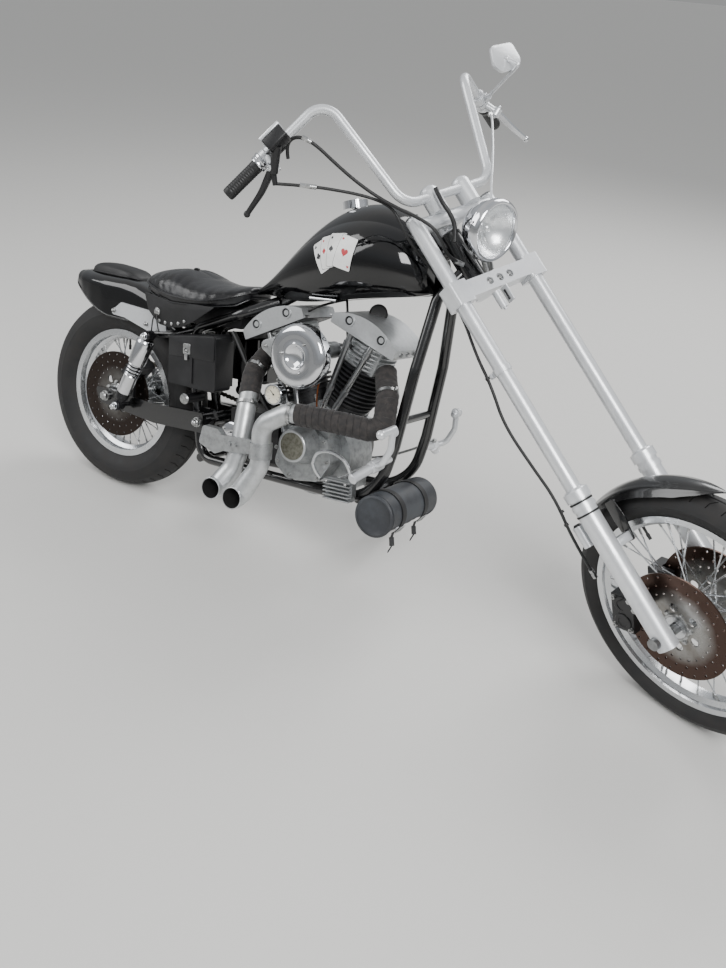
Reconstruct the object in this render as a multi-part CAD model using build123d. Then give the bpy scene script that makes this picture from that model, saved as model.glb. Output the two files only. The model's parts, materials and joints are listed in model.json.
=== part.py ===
from build123d import *
import os
from math import sin, cos, tan, radians, hypot

# Chopper motorcycle, long raked fork, V-twin engine, leaning on its side stand.
# Units are millimetres. Each piece is modelled in one of two frames:
#   chassis frame: origin at the crankshaft, X along the lower frame rails, Y left, Z up
#   fork frame: origin at the front axle, Z up the fork legs, X forward, Y left
# stance() then turns the bars, leans the machine and sets both tyres on the ground.

# Stance
lean = 13.3
steer_angle = -28.3
steer_stop = 28.3

# Steering head and wheels
rake = 39.8
leg_offset = 54.9
rear_axle = (-850.0, 0.0, 63.0)
front_axle_at = (1104.0, 0.0, -203.0)

# Rear wheel
rear_tyre_radius = 325.3
rear_tyre_width = 130.0
rear_crown = 78.0
rear_rim_radius = 219.0
rear_rim_width = 85.0
rear_bead_radius = 203.0

# Front wheel
front_tyre_radius = 343.4
front_tyre_width = 90.0
front_crown = 47.0
front_rim_radius = 277.0
front_rim_width = 64.0
front_bead_radius = 265.0

# Shared wheel sizes
rim_wall = 4.0
rim_lip = 3.0
rim_well_depth = 13.0
rim_well_half = 16.0
crown_steps = (0, 24, 46)
spokes_a_side = 20
spoke_radius = 2.2
spoke_sweep = 52.0
seat_gap = 0.3
axle_radius = 9.5
pin_gap = 0.5
hub_barrel_radius = 30.0
hub_flange_radius = 46.0
hub_flange_thickness = 8.0
front_flange_y = 34.0
rear_flange_y = 32.0
front_hub_end = 82.0
rear_hub_end = 78.0

# Brakes
front_disc_radius = 146.0
front_disc_y = 76.0
front_disc_hole = 82.0
disc_thickness = 5.0
rear_disc_radius = 145.0
rear_disc_y = 62.0
rear_disc_inner = 80.0
disc_holes = 24
disc_rows = 3
disc_hole = 3.5
disc_hole_margin = 10.0
carrier_holes = 6
carrier_hole = 12.0

# Final drive
sprocket_y = 76.0
sprocket_radius = 96.0
sprocket_thickness = 7.0
teeth = 48
tooth_depth = 7.0
tooth_root = 8.0
tooth_tip = 3.0
sprocket_hole_at = 62.0
sprocket_holes = 5
sprocket_hole = 13.0
chain_half = 6.0
chain_depth = 8.0
chain_gap = 2.0
front_sprocket_radius = 34.0

# Fork
leg_half = 132.0
leg_radius = 20.65
leg_top = 1206.0
leg_dome = 16.0
slider_top = 412.0
slider_bottom = -28.0
slider_radius = 28.0
slider_bore_depth = 70.0
slider_rings = ((0.0, 24.0, 5.0), (36.0, 14.0, 3.0))
lower_tree_z = 960.0
lower_tree_height = 46.0
lower_tree_front = 27.0
tree_hole_radius = 9.0
tree_hole_depth = 7.0
tree_hole_pitch = 36.0
upper_tree_z = 1190.0
upper_tree_radius = 21.0
tree_clamp_radius = 30.0
head_tube_radius = 31.0
tree_gap = 4.0
stem_radius = 12.5
tree_plate = 22.0
head_tube_low = lower_tree_z + lower_tree_height + tree_gap
head_tube_high = upper_tree_z - upper_tree_radius - tree_gap
downtube_z = 1066.0

# Handlebar
bar_radius = 12.7
riser_x = 20.0
riser_half = 56.0
riser_radius = 27.0
riser_above_bar = 32.0
riser_dome = 20.0
grip_radius = 17.5
grip_collar = 4.0
bar_corner_low = (27.0, 153.0, 1247.0)
bar_corner_high = (67.0, 235.0, 1557.0)
bar_end = (-149.0, 482.0, 1498.0)
bar_bends = (52.0, 58.0)
grip_length = 118.0

# Hand controls: where each lever starts and where its ball ends, y outward
perch_inward = 22.0
perch_radius = 10.0
lever_radius = 6.0
lever_ball = 9.0
right_lever = ((-35.0, 400.0, 1474.0), (-186.0, 440.0, 1452.0))
left_lever = ((-48.0, 400.0, 1477.0), (-94.0, 500.0, 1395.0))
reservoir_at = (30.0, -392.0, 1508.0)
reservoir = (58.0, 50.0, 42.0)

# Mirror
mirror_at = (120.0, 345.0, 1529.0)
mirror_bend = (144.0, 345.0, 1485.0)
mirror_root = (-26.0, 371.0, 1514.0)
mirror_root_radius = 9.0
mirror_half_width = 54.0
mirror_half_height = 37.0
mirror_depth = 13.0
mirror_stem_radius = 5.0
mirror_bar_gap = 2.0

# Headlight
lamp_centre = (96.0, 0.0, 1075.0)
lamp_radius = 80.0
lamp_depth = 92.0
lamp_droop = 50.0
lamp_rim = 5.0
lamp_glass = 9.0

# Front fender: a curved strip about the axle
fender_gap = 24.0
fender_back = -14.0
fender_front = 44.0
fender_half = 56.0
fender_wall = 3.0
fender_crown = 30.0

# Rear fender: side view of its top, plan of its tapered tail
tail_top = ((-1080.0, 476.0), (-1000.0, 466.0), (-900.0, 457.0), (-800.0, 452.0), (-690.0, 426.0), (-610.0, 376.0),
            (-566.0, 330.0))
tail_under = ((-592.0, 300.0), (-690.0, 318.0), (-866.0, 327.0), (-962.0, 372.0), (-1012.0, 418.0), (-1074.0, 452.0))
tail_bend = 60.0
rear_fender_half = 92.0
rear_fender_wall = 4.0
rear_fender_round = 16.0
tail_half = 46.0
tail_taper_x = -890.0

# Passenger pad and tail light on the rear fender
pad_side = ((-998.0, 466.0), (-985.0, 497.0), (-905.0, 503.0), (-810.0, 486.0), (-774.0, 452.0), (-790.0, 440.0),
            (-990.0, 440.0))
pad_half = 58.0
pad_round = 12.0
tail_light_at = (-1024.0, 0.0, 452.0)
tail_light = (26.0, 60.0, 58.0)

# Frame
frame_tube = 16.0
rail_z = -95.0
upright_half = 46.0
front_corner_x = 208.0
front_bend = 150.0
rear_tube_half = 108.0
rear_tube_radius = 11.0
pivot_radius = 22.0
arm_inner = 92.0
arm_outer = 108.0
pivot_at = (-452.0, 0.0, 35.0)
backbone_radius = 19.0
backbone_bend = 120.0
tunnel_gap = 6.0
backbone_middle = [(200.0, 0.0, 545.0), (-150.0, 0.0, 470.0), (-330.0, 0.0, 375.0)]
seat_cross_at = (-505.0, 322.0)

# Shocks
shock_low = (-756.0, 48.0)
shock_high = (-626.0, 290.0)
shock_y = 148.0
shock_cover = 28.0
shock_cover_length = 84.0
shock_foot = 24.0
shock_foot_span = (53.0, 127.0)
shock_coils = 5
shock_wire = 6.0

# Fuel tank: stations of x, half width, bottom z, widest z, top z
tank_stations = [
    (-292.0, 30.0, 446.0, 456.0, 468.0),
    (-190.0, 74.0, 446.0, 490.0, 555.0),
    (-60.0, 122.0, 448.0, 540.0, 668.0),
    (90.0, 150.0, 470.0, 560.0, 728.0),
    (220.0, 140.0, 486.0, 572.0, 698.0),
    (296.0, 74.0, 500.0, 566.0, 622.0),
]
cap_at = (18.0, 0.0, 712.0)
cap_radius = 36.0
cap_height = 22.0
cap_tilt = 12.0

# Seat: its side view and its plan
seat_side = ((-300.0, 440.0), (-300.0, 482.0), (-385.0, 475.0), (-486.0, 492.0), (-549.0, 518.0), (-621.0, 510.0),
             (-690.0, 488.0), (-706.0, 470.0), (-649.0, 433.0), (-565.0, 404.0), (-416.0, 404.0), (-330.0, 413.0))
seat_plan = ((-300.0, 62.0), (-330.0, 96.0), (-430.0, 140.0), (-580.0, 144.0), (-660.0, 112.0), (-706.0, 60.0))
seat_round = 8.0

# Boxes on both sides under the seat: x, outer half and inner half in y, z
box_x = (-520.0, -334.0)
box_y = (170.0, 96.0, 62.0)
box_z = (150.0, 324.0)
box_inner_x = (-478.0, -352.0)
box_inner_z = (160.0, 296.0)
box_round = 12.0
latch_at = (-445.0, 268.0)
box_peg_at = (-447.0, 118.0)

# Engine, about the crankshaft at engine_x
engine_x = -28.0
bank_angle = 22.5
crankcase_radius = 124.0
crankcase_half = 66.0
crankcase_foot = (230.0, 112.0, 70.0)
deck_height = 150.0
deck = (128.0, 120.0)
barrel_top = 300.0
barrel_radius = 78.0
barrel_fins = 11
fin_depth = 16.0
fin_thickness = 4.2
head_top = 388.0
head_core = (116.0, 112.0)
head_fins = 7
rocker_end = 416.0
rocker_crest = 449.0
rocker_half_length = 112.0
rocker_right = 98.0
rocker_left = 76.0
rocker_plug_u = 57.0
rocker_plug_w = 420.0
rocker_plug_radius = 13.0
rocker_plug_depth = 4.0
cam_cover_y = -136.0
cam_face = ((-98.0, -30.0), (-70.0, 74.0), (0.0, 92.0), (84.0, 70.0), (100.0, 0.0), (60.0, -62.0), (-50.0, -70.0))
timer_z = 44.0
timer_y = -190.0
timer_radius = 46.0
timer_base_radius = 62.0
timer_recess = 3.0
tappet = (60.0, 44.0, 54.0)
pushrod_feet = (34.0, 66.0)
pushrod_tops = ((106.0, -82.0, 372.0), (176.0, -82.0, 342.0))
pushrod_foot_y = -112.0
pushrod_foot_z = 119.0
pushrod_radius = 9.0
pushrod_collar = 12.0
gearbox = (184.0, 134.0, 150.0)
gearbox_y = -8.0
gearbox_at = (-290.0, 0.0, 20.0)
gearbox_cover = 46.0
case_gap = 6.0
primary_z = (8.0, 32.0)
primary_radii = (82.0, 102.0)
primary_y = (88.0, 150.0)

# Intake
intake_z = 312.0
carburettor_radius = 25.0
runner_radius = 20.0
cleaner_at = (-15.0, 304.0)
cleaner_radius = 91.0
cleaner_face_radius = 62.0
cleaner_dish_radius = 33.0
cleaner_dish_depth = 12.0
cleaner_y = (-168.0, -176.0, -206.0, -220.0)
cleaner_corner = (-146.0, 318.0)
cleaner_corner_radius = 17.0

# Oil gauge
gauge_at = (-114.0, 180.0)
gauge_radius = 30.0
gauge_y = (-150.0, -172.0)
gauge_stem = 5.0
gauge_stem_y = -134.0
gauge_foot = (-100.0, 66.0)

# Exhaust
pipe_radius = 28.5
pipe_wall = 2.5
outlet_depth = 80.0
front_pipe_route = [(176, -38, 274), (228, -112, 212), (250, -165, 125), (143, -205, 141), (-16, -232, 149),
                    (-100, -240, 103), (-99, -244, -17), (-180, -275, -127)]
front_pipe_bends = [60, 40, 80, 60, 50, 60]
rear_pipe_route = [(-222, -40, 290), (-232, -112, 228), (-208, -174, 130), (-201, -213, 1), (-213, -225, -50),
                   (-271, -252, -121)]
rear_pipe_bends = [60, 60, 80, 60]
clamp_z = (4.0, 50.0)
clamp_wall = 5.0
clamp_plate = ((-250.0, 2.0), (-250.0, 50.0), (-110.0, 55.0), (-110.0, 12.0))
clamp_casting = ((-334.0, 10.0), (-318.0, 66.0), (-262.0, 62.0), (-240.0, 40.0), (-240.0, 2.0), (-270.0, -14.0))
clamp_casting_y = (-238.0, -216.0)
clamp_bolt = 7.0

# Forward controls, y outward; the tube bends from the peg's collar up to the pedal's peg
peg_radius = 13.0
peg_length = 76.0
peg_collar = 14.0
peg_at = (246.0, 178.0, 38.0)
peg_way = (-27.0, 78.0, -30.0)
control_tube = 9.0
control_route = ((244.0, 186.0, 36.0), (276.0, 204.0, 50.0), (300.0, 206.0, 94.0), (301.0, 205.0, 146.0))
pedal_end = (287.0, 252.0, 139.0)
pedal_radius = 11.0
control_mount = (248.0, 101.0, 46.0)
control_mount_radius = 12.0

# Regulator, a finned case outside the right rail
regulator_x = (70.0, 158.0)
regulator_y = (-168.0, -124.0)
regulator_z = (-96.0, -34.0)
regulator_fins = 6
regulator_fin = 3.0
regulator_fin_depth = 12.0

# Tool roll strapped ahead of the frame
roll_at = (254.0, -107.0)
roll_radius = 60.0
roll_length = 280.0
roll_y = -45.0

# Side stand: pivot in the chassis frame, foot ahead and left of the rear tyre on the ground
stand_pivot = (60.0, 150.0, -118.0)
stand_foot = (945.0, 300.0, 0.0)
stand_stowed = (-1.0, 0.02, 0.03)
stand_leg_radius = 11.0
stand_eye_radius = 18.0
stand_eye_half = 12.0
stand_pin_radius = 7.0
foot_radius = 28.0
foot_thickness = 8.0

# Cords in the fork frame: how much of its shorter run an arc takes, then each cord's radius and route
cord_reach = 0.45
cords = {
    "throttle_cable": (4.5, [(-28, -352, 1482), (-8, -354, 1500), (18, -346, 1506), (34, -328, 1492), (36, -304, 1460), (22, -272, 1410), (12, -236, 1352),
                             (14, -202, 1292), (28, -172, 1238), (48, -150, 1190), (52, -130, 1153), (38, -118, 1124), (16, -106, 1098),
                             (-8, -74, 1078), (-12, -52, 1060)]),
    "front_brake_hose": (4.0, [(-61, -402, 1444), (-45, -350, 1414), (-25, -290, 1372), (-2, -215, 1312), (8, -174, 1262),
                               (-4, -168, 1217), (-28, -154, 1175), (-54, -120, 1121), (-56, -104, 1040), (-48, -112, 940),
                               (-36, -150, 830), (-26, -168, 740), (-58, -170, 644), (-49, -168, 512), (-34, -170, 416),
                               (-70, -160, 300), (-128, -110, 190)]),
    "loom": (6.0, [(66, -70, 1248), (68, -78, 1208), (62, -68, 1172), (46, -62, 1138),
                   (30, -76, 1110)]),
    "clutch_cable": (3.5, [(-50, 372, 1476), (-12, 340, 1458), (36, 240, 1362), (58, 165, 1280), (60, 110, 1215),
                           (58, 74, 1160), (40, 70, 1110), (-2, 66, 1088)]),
}


# Helpers

def outline(points, radius=0.0):
    """A closed face from corner points, all rounded alike."""
    if radius:
        return make_face(FilletPolyline(*points, radius=radius, close=True))
    return make_face(Polyline(*points, close=True))


def slab(face, y_low, y_high):
    """A side view face, x and z, extruded across the machine."""
    return extrude(Plane.XZ.offset(-y_low) * face, amount=-(y_high - y_low))


def slab_up(face, z_low, z_high):
    """A plan view face, x and y, extruded upward."""
    return extrude(Plane.XY.offset(z_low) * face, amount=z_high - z_low)


def rod(start, end, radius):
    """A straight round bar between two points."""
    run = Vector(*end) - Vector(*start)
    return extrude(Plane(origin=start, z_dir=run) * Circle(radius), amount=run.length)


def tube(points, radius, bends):
    """A round tube along straight runs joined by tangent arcs."""
    path = FilletPolyline(*points, radius=bends)
    return sweep(Plane(origin=path @ 0, z_dir=path % 0) * Circle(radius), path=path)


def turned(points):
    """A solid turned about the Y axis from a closed profile of (y, radius) points."""
    return revolve(Plane.YZ * make_face(Polyline(*points, close=True)), axis=Axis.Y)


def pair(make):
    """The right and left copies of a piece that takes its side, -1 or 1."""
    return Compound([make(-1), make(1)])


def side_of(point, side):
    """A point given for the left, put on one side of the machine."""
    return (point[0], side * point[1], point[2])


def facing(centre, radius, y_low, y_high):
    """A round bar across the machine from its centre (x, z)."""
    return rod((centre[0], y_low, centre[1]), (centre[0], y_high, centre[1]), radius)


def disc(centre, radius, y_low, y_high):
    """A round plate across the machine."""
    return Pos(centre[0], 0, centre[2]) * rod((0, y_low, 0), (0, y_high, 0), radius)


# Wheels, each about its own axle along Y

def tyre_profile(radius, width, crown, rim_radius, rim_width):
    """The left half of a tyre's outside as (y, radius) points, from the crown to the rim's lip."""
    crown_centre = radius - crown
    points = [(crown * sin(radians(a)), crown_centre + crown * cos(radians(a))) for a in crown_steps]
    shoulder = points[-1][1]
    side = shoulder - rim_radius
    bead = rim_width / 2 - rim_lip - seat_gap
    return points + [(width / 2, shoulder - 0.35 * side), (bead + 0.35 * (width / 2 - bead), rim_radius + 0.12 * side),
                     (bead, rim_radius)]


def tyre(radius, width, crown, rim_radius, rim_width, bead_radius):
    left = tyre_profile(radius, width, crown, rim_radius, rim_width)
    right = [(-y, r) for y, r in left[:0:-1]]
    seat = bead_radius + seat_gap
    bead = left[-1][0]
    return turned(right + left + [(bead, seat), (-bead, seat)])


def rim(rim_radius, rim_width, bead_radius):
    half = rim_width / 2
    well = bead_radius - rim_well_depth
    right = [(half - rim_lip, rim_radius), (half - rim_lip, bead_radius), (rim_well_half, bead_radius),
             (rim_well_half - rim_wall, well)]
    under = [(rim_well_half - rim_wall, well - rim_wall), (rim_well_half + rim_wall, bead_radius - rim_wall),
             (half, bead_radius - rim_wall), (half, rim_radius)]
    mirrored = [(-y, r) for y, r in right]
    mirrored_under = [(-y, r) for y, r in under]
    return turned(mirrored + right[::-1] + under[::-1] + mirrored_under)


def spokes(flange_y, bead_radius):
    """Crossed spokes from both hub flanges to the well of the rim."""
    reach = bead_radius - rim_well_depth - rim_wall / 2
    hub_reach = hub_flange_radius - 6
    wires = []
    for side in (-1, 1):
        for i in range(spokes_a_side):
            lead = 1 if i % 2 else -1
            at_hub = radians(360 * i / spokes_a_side + (9 if side > 0 else 0))
            at_rim = at_hub + lead * radians(spoke_sweep)
            y_hub = side * (flange_y + lead * hub_flange_thickness / 4)
            start = (hub_reach * cos(at_hub), y_hub, hub_reach * sin(at_hub))
            end = (reach * cos(at_rim), side * 5, reach * sin(at_rim))
            run = Vector(*end) - Vector(*start)
            section = Plane(origin=start, z_dir=run) * RegularPolygon(spoke_radius, 6)
            wires.append(extrude(section, amount=run.length))
    return wires


def wire_wheel(rim_radius, rim_width, bead_radius, flange_y, end_y):
    """Hub, spokes and rim as one laced wheel."""
    return hub(flange_y, end_y).fuse(rim(rim_radius, rim_width, bead_radius), *spokes(flange_y, bead_radius))


def hub(flange_y, end_y):
    bore = axle_radius + pin_gap
    half = hub_flange_thickness / 2
    right = [(0, hub_barrel_radius), (flange_y - half, hub_barrel_radius), (flange_y - half, hub_flange_radius),
             (flange_y + half, hub_flange_radius), (flange_y + half, hub_barrel_radius), (end_y, hub_barrel_radius),
             (end_y, bore)]
    left = [(-y, r) for y, r in right[1:]]
    return turned(right + left[::-1])


def brake_disc(y, radius, hole):
    """A drilled disc, three rows of holes."""
    face = Circle(radius) - Circle(hole)
    reach = radius - hole - 2 * disc_hole_margin
    for row in range(disc_rows):
        at = hole + disc_hole_margin + reach * row / (disc_rows - 1)
        turn = 180 / disc_holes * (row % 2)
        face -= PolarLocations(at, disc_holes, start_angle=turn) * Circle(disc_hole)
    return extrude(Plane.XZ.offset(-y - disc_thickness / 2) * face, amount=disc_thickness)


def disc_carrier(y, inner, outer):
    """The spider between hub and disc."""
    face = Circle(outer) - Circle(inner)
    face -= PolarLocations((inner + outer) / 2, carrier_holes) * Circle(carrier_hole)
    return extrude(Plane.XZ.offset(-y - disc_thickness / 2) * face, amount=disc_thickness)


def front_discs():
    def one(side):
        y = side * front_disc_y
        return brake_disc(y, front_disc_radius, front_disc_hole) + disc_carrier(y, hub_barrel_radius + seat_gap,
                                                                                 front_disc_hole)
    return pair(one)


def rear_disc():
    return (brake_disc(-rear_disc_y, rear_disc_radius, rear_disc_inner)
            + disc_carrier(-rear_disc_y, hub_barrel_radius + seat_gap, rear_disc_inner))


def sprocket():
    """The chain wheel: teeth round its rim, five lightening holes."""
    tooth = [(sprocket_radius - tooth_depth, -tooth_root / 2), (sprocket_radius, -tooth_tip / 2),
             (sprocket_radius, tooth_tip / 2), (sprocket_radius - tooth_depth, tooth_root / 2)]
    face = Circle(sprocket_radius - tooth_depth + 1) + PolarLocations(0, teeth) * outline(tooth)
    face -= Circle(hub_barrel_radius + seat_gap)
    face -= PolarLocations(sprocket_hole_at, sprocket_holes) * Circle(sprocket_hole)
    return extrude(Plane.XZ.offset(-sprocket_y - sprocket_thickness / 2) * face, amount=sprocket_thickness)


# Fork, in the fork frame

def fork_trees():
    """The round upper tree, the flat lower tree with three recessed holes, and the stem between them."""
    span = leg_half
    upper = Pos(0, 0, upper_tree_z) * rod((0, -span, 0), (0, span, 0), upper_tree_radius)
    boss = Pos(-leg_offset, 0, upper_tree_z) * Cylinder(27, 2 * upper_tree_radius)
    web = Pos(-leg_offset / 2, 0, upper_tree_z) * Box(leg_offset, 44, 30)
    low_mid = lower_tree_z + lower_tree_height / 2
    bar = slab_up(outline([(lower_tree_front, -span), (lower_tree_front, span), (-14, span), (-14, -span)]),
                  lower_tree_z, lower_tree_z + lower_tree_height)
    plate = Pos(-leg_offset / 2, 0, low_mid) * Box(leg_offset, 74, tree_plate)
    low_boss = Pos(-leg_offset, 0, low_mid) * Cylinder(tree_clamp_radius, tree_plate)
    lug = outline([(lower_tree_front, -tree_clamp_radius), (lower_tree_front, tree_clamp_radius),
                   (-tree_clamp_radius, tree_clamp_radius), (-tree_clamp_radius, -tree_clamp_radius)], tree_hole_radius)
    clamps = [Pos(0, side * span, 0) * slab_up(lug, lower_tree_z - 8, lower_tree_z + lower_tree_height + 8)
              for side in (-1, 1)]
    stem = Pos(-leg_offset, 0, (low_mid + upper_tree_z) / 2) * Cylinder(stem_radius, upper_tree_z - low_mid)
    trees = upper + boss + web + bar + plate + low_boss + clamps + stem
    for y in (-tree_hole_pitch, 0, tree_hole_pitch):
        trees -= rod((lower_tree_front + 1, y, low_mid), (lower_tree_front - tree_hole_depth, y, low_mid),
                     tree_hole_radius)
    for side in (-1, 1):
        trees -= Pos(0, side * span, (lower_tree_z + upper_tree_z) / 2) * Cylinder(leg_radius + seat_gap, 400)
    return trees


def fork_tubes():
    def one(side):
        low = slider_top - slider_bore_depth
        shaft = Pos(0, side * leg_half, (low + leg_top + leg_dome) / 2) * Cylinder(leg_radius, leg_top + leg_dome - low)
        return fillet(shaft.edges().group_by(Axis.Z)[-1], leg_dome - 2)
    return pair(one)


def fork_sliders():
    def one(side):
        length = slider_top - slider_bottom
        body = Cylinder(slider_radius, length)
        rings = [Pos(0, 0, length / 2 - down - height / 2) * Cylinder(slider_radius + wide, height)
                 for down, height, wide in slider_rings]
        bore = Pos(0, 0, length / 2 - slider_bore_depth / 2) * Cylinder(leg_radius + seat_gap, slider_bore_depth)
        slider = Pos(0, side * leg_half, (slider_top + slider_bottom) / 2) * (body + rings - bore)
        return slider - rod((0, side * 80, 0), (0, side * 190, 0), axle_radius)
    return pair(one)


def front_axle():
    half = leg_half + slider_radius + 4
    shaft = rod((0, -half, 0), (0, half, 0), axle_radius)
    nuts = [rod((0, side * (half - 4 + seat_gap), 0), (0, side * (half + 9), 0), 15) for side in (-1, 1)]
    spacers = [rod((0, side * (leg_half - slider_radius - 0.3), 0), (0, side * (front_hub_end + 1.0), 0), 14)
               for side in (-1, 1)]
    return shaft + nuts + spacers


def bar_points(side):
    """The bar's corners from the middle out to one end."""
    return [side_of(point, side) for point in (bar_corner_low, bar_corner_high, bar_end)]


def bar_tube(radius):
    """The high bar, one tube from grip to grip."""
    bends = [*bar_bends, *bar_bends[::-1]]
    return tube(bar_points(-1)[::-1] + bar_points(1), radius, bends)


def handlebar():
    """The bar with its two dome-topped risers."""
    foot = upper_tree_z + upper_tree_radius / 2
    top = bar_corner_low[2] + riser_above_bar
    post = Pos(0, 0, (foot + top) / 2) * Cylinder(riser_radius, top - foot)
    post = fillet(post.edges().group_by(Axis.Z)[-1], riser_dome)
    risers = [Pos(riser_x, side * riser_half, 0) * post for side in (-1, 1)]
    tree = Pos(0, 0, upper_tree_z) * rod((0, -leg_half, 0), (0, leg_half, 0), upper_tree_radius + seat_gap)
    return (bar_tube(bar_radius) + risers) - tree


def bar_run(side, inward):
    """A point that far in from the bar's end, and the way in along the bar."""
    points = bar_points(side)
    end = Vector(*points[-1])
    way = (Vector(*points[-2]) - end).normalized()
    return end + way * inward, way


def grip(side):
    """One rubber sleeve, closed over the bar's end, with its collar."""
    start, way = bar_run(side, -4)
    stop, way = bar_run(side, grip_length)
    body = rod(tuple(start), tuple(stop), grip_radius)
    collar = rod(tuple(stop - way * 12), tuple(stop), grip_radius + grip_collar)
    return body + collar - bar_tube(bar_radius + seat_gap)


def grips():
    return pair(grip)


def control_clamp(side, gap):
    """The band that holds a lever's perch to the bar, grown by a gap."""
    base, way = bar_run(side, grip_length + perch_inward)
    return rod(tuple(base - way * (16 + gap)), tuple(base + way * (16 + gap)), bar_radius + 9 + gap)


def hand_control(side):
    """A clamp with its perch and lever; the right one carries the brake's reservoir."""
    base, way = bar_run(side, grip_length + perch_inward)
    clamp = control_clamp(side, 0)
    root, tip = [side_of(point, side) for point in (left_lever if side > 0 else right_lever)]
    perch = rod(tuple(base), root, perch_radius)
    body = clamp + perch + Pos(*root) * Sphere(perch_radius) + rod(root, tip, lever_radius)
    body += Pos(*tip) * Sphere(lever_ball)
    if side < 0:
        body += Pos(*reservoir_at) * Box(*reservoir)
        body += rod(tuple(base), reservoir_at, perch_radius)
    return body - bar_tube(bar_radius + seat_gap)


def hand_controls():
    return pair(hand_control)


def mirror_set():
    """The left mirror, a blunt five-sided head on its bent stem."""
    wide, high = mirror_half_width, mirror_half_height
    face = outline([(-wide, high * 0.4), (-wide * 0.6, high), (wide * 0.62, high), (wide, high * 0.3),
                    (wide * 0.75, -high), (-wide * 0.75, -high)], 10)
    head = extrude(Plane(origin=mirror_at, x_dir=(0, 1, 0), z_dir=(-1, 0, 0.25)) * face, amount=mirror_depth / 2,
                   both=True)
    stem = rod(mirror_root, mirror_bend, mirror_stem_radius) + rod(mirror_bend, mirror_at, mirror_stem_radius)
    stem += Pos(*mirror_bend) * Sphere(mirror_stem_radius + 1)
    way = (Vector(*mirror_bend) - Vector(*mirror_root)).normalized()
    foot = rod(tuple(Vector(*mirror_root) - way * mirror_root_radius), tuple(Vector(*mirror_root) + way * 12),
               mirror_root_radius)
    return stem + head + foot - control_clamp(1, seat_gap) - bar_tube(bar_radius + mirror_bar_gap)


def lamp_frame():
    """The lamp's own frame, X out of the glass."""
    return Pos(*lamp_centre) * Rot(0, lamp_droop, 0)


def headlight():
    """The lamp bowl with its rim, and the bracket down to the lower tree."""
    bowl_profile = make_face([
        Line((0, 0), (0, lamp_radius)),
        Line((0, lamp_radius), (-14, lamp_radius)),
        ThreePointArc((-14, lamp_radius), (-lamp_depth * 0.72, lamp_radius * 0.66), (-lamp_depth, 0)),
        Line((-lamp_depth, 0), (0, 0)),
    ])
    bowl = revolve(Plane.XZ * bowl_profile, axis=Axis.X)
    recess = lamp_glass + 1
    bowl -= Pos(-recess / 2, 0, 0) * Rot(0, 90, 0) * Cylinder(lamp_radius - lamp_rim, recess)
    top = lower_tree_z + lower_tree_height
    back = (lamp_frame() * Pos(-lamp_depth * 0.8, 0, 0)).position
    side = outline([(-9, top + seat_gap), (9, top + seat_gap), (back.X + 14, back.Z), (back.X - 6, back.Z)])
    return lamp_frame() * bowl + slab(side, -14, 14)


def headlight_lens():
    return (lamp_frame() * Pos(-lamp_glass / 2, 0, 0) * Rot(0, 90, 0)
            * Cylinder(lamp_radius - lamp_rim - seat_gap, lamp_glass))


def front_fender():
    """A short guard, a curved strip turned about the axle, and its stays to the sliders."""
    inner = front_tyre_radius + fender_gap
    edge = inner - fender_crown
    skin = make_face([
        ThreePointArc((-fender_half, edge), (0, inner), (fender_half, edge)),
        Line((fender_half, edge), (fender_half, edge + fender_wall + 1)),
        ThreePointArc((fender_half, edge + fender_wall + 1), (0, inner + fender_wall),
                      (-fender_half, edge + fender_wall + 1)),
        Line((-fender_half, edge + fender_wall + 1), (-fender_half, edge)),
    ])
    strip = Rot(0, fender_back, 0) * revolve(Plane.YZ * skin, axis=Axis.Y,
                                             revolution_arc=fender_front - fender_back)
    stays = []
    for side in (-1, 1):
        y_low, y_high = sorted((side * (fender_half - 2), side * (fender_half + 4)))
        stay = slab(outline([(-12, 230), (16, 230), (120, 322), (90, 346), (-16, 300)], 8), y_low, y_high)
        lug_low, lug_high = sorted((side * (fender_half + 4), side * (leg_half - slider_radius + 4)))
        lug = slab(outline([(-10, 236), (12, 236), (12, 262), (-10, 262)]), lug_low, lug_high)
        stays += [stay, lug]
    guard = strip + stays
    for side in (-1, 1):
        guard -= Pos(0, side * leg_half, 200) * Cylinder(slider_radius + seat_gap, 500)
    return guard


def caliper(side):
    """A two-pot caliper behind the leg, astride the disc."""
    y = side * front_disc_y
    body = Pos(-112, y, 78) * Rot(0, 35, 0) * Box(66, 62, 104)
    slot = Pos(0, y, 0) * Rot(90, 0, 0) * Cylinder(front_disc_radius + 5, 15)
    lug = Pos(-56, side * (leg_half - 22), 92) * Box(66, 22, 44)
    return (body + lug) - slot - Pos(0, side * leg_half, 200) * Cylinder(slider_radius + seat_gap, 500)


def front_calipers():
    return pair(caliper)


def cord(name):
    """A cord as a round tube along its points."""
    radius, route = cords[name]
    bends = []
    for before, at, after in zip(route, route[1:], route[2:]):
        back, ahead = Vector(*at) - Vector(*before), Vector(*after) - Vector(*at)
        bends.append(cord_reach * min(back.length, ahead.length) / tan(radians(back.get_angle(ahead)) / 2))
    print(name, "bends at no less than", round(min(bends)), "mm")
    return tube(route, radius, bends)


# Chassis pieces, in the chassis frame

def head_axis(z):
    """A point of the steering axis, z up the fork, in the chassis frame."""
    tilt = radians(rake)
    return (front_axle_at[0] - leg_offset * cos(tilt) - z * sin(tilt), 0.0,
            front_axle_at[2] - leg_offset * sin(tilt) + z * cos(tilt))


def backbone(radius):
    """The single top tube from the steering head to the seat, at a given radius."""
    return tube([head_axis(head_tube_high - 40)] + backbone_middle, radius, backbone_bend)


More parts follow.
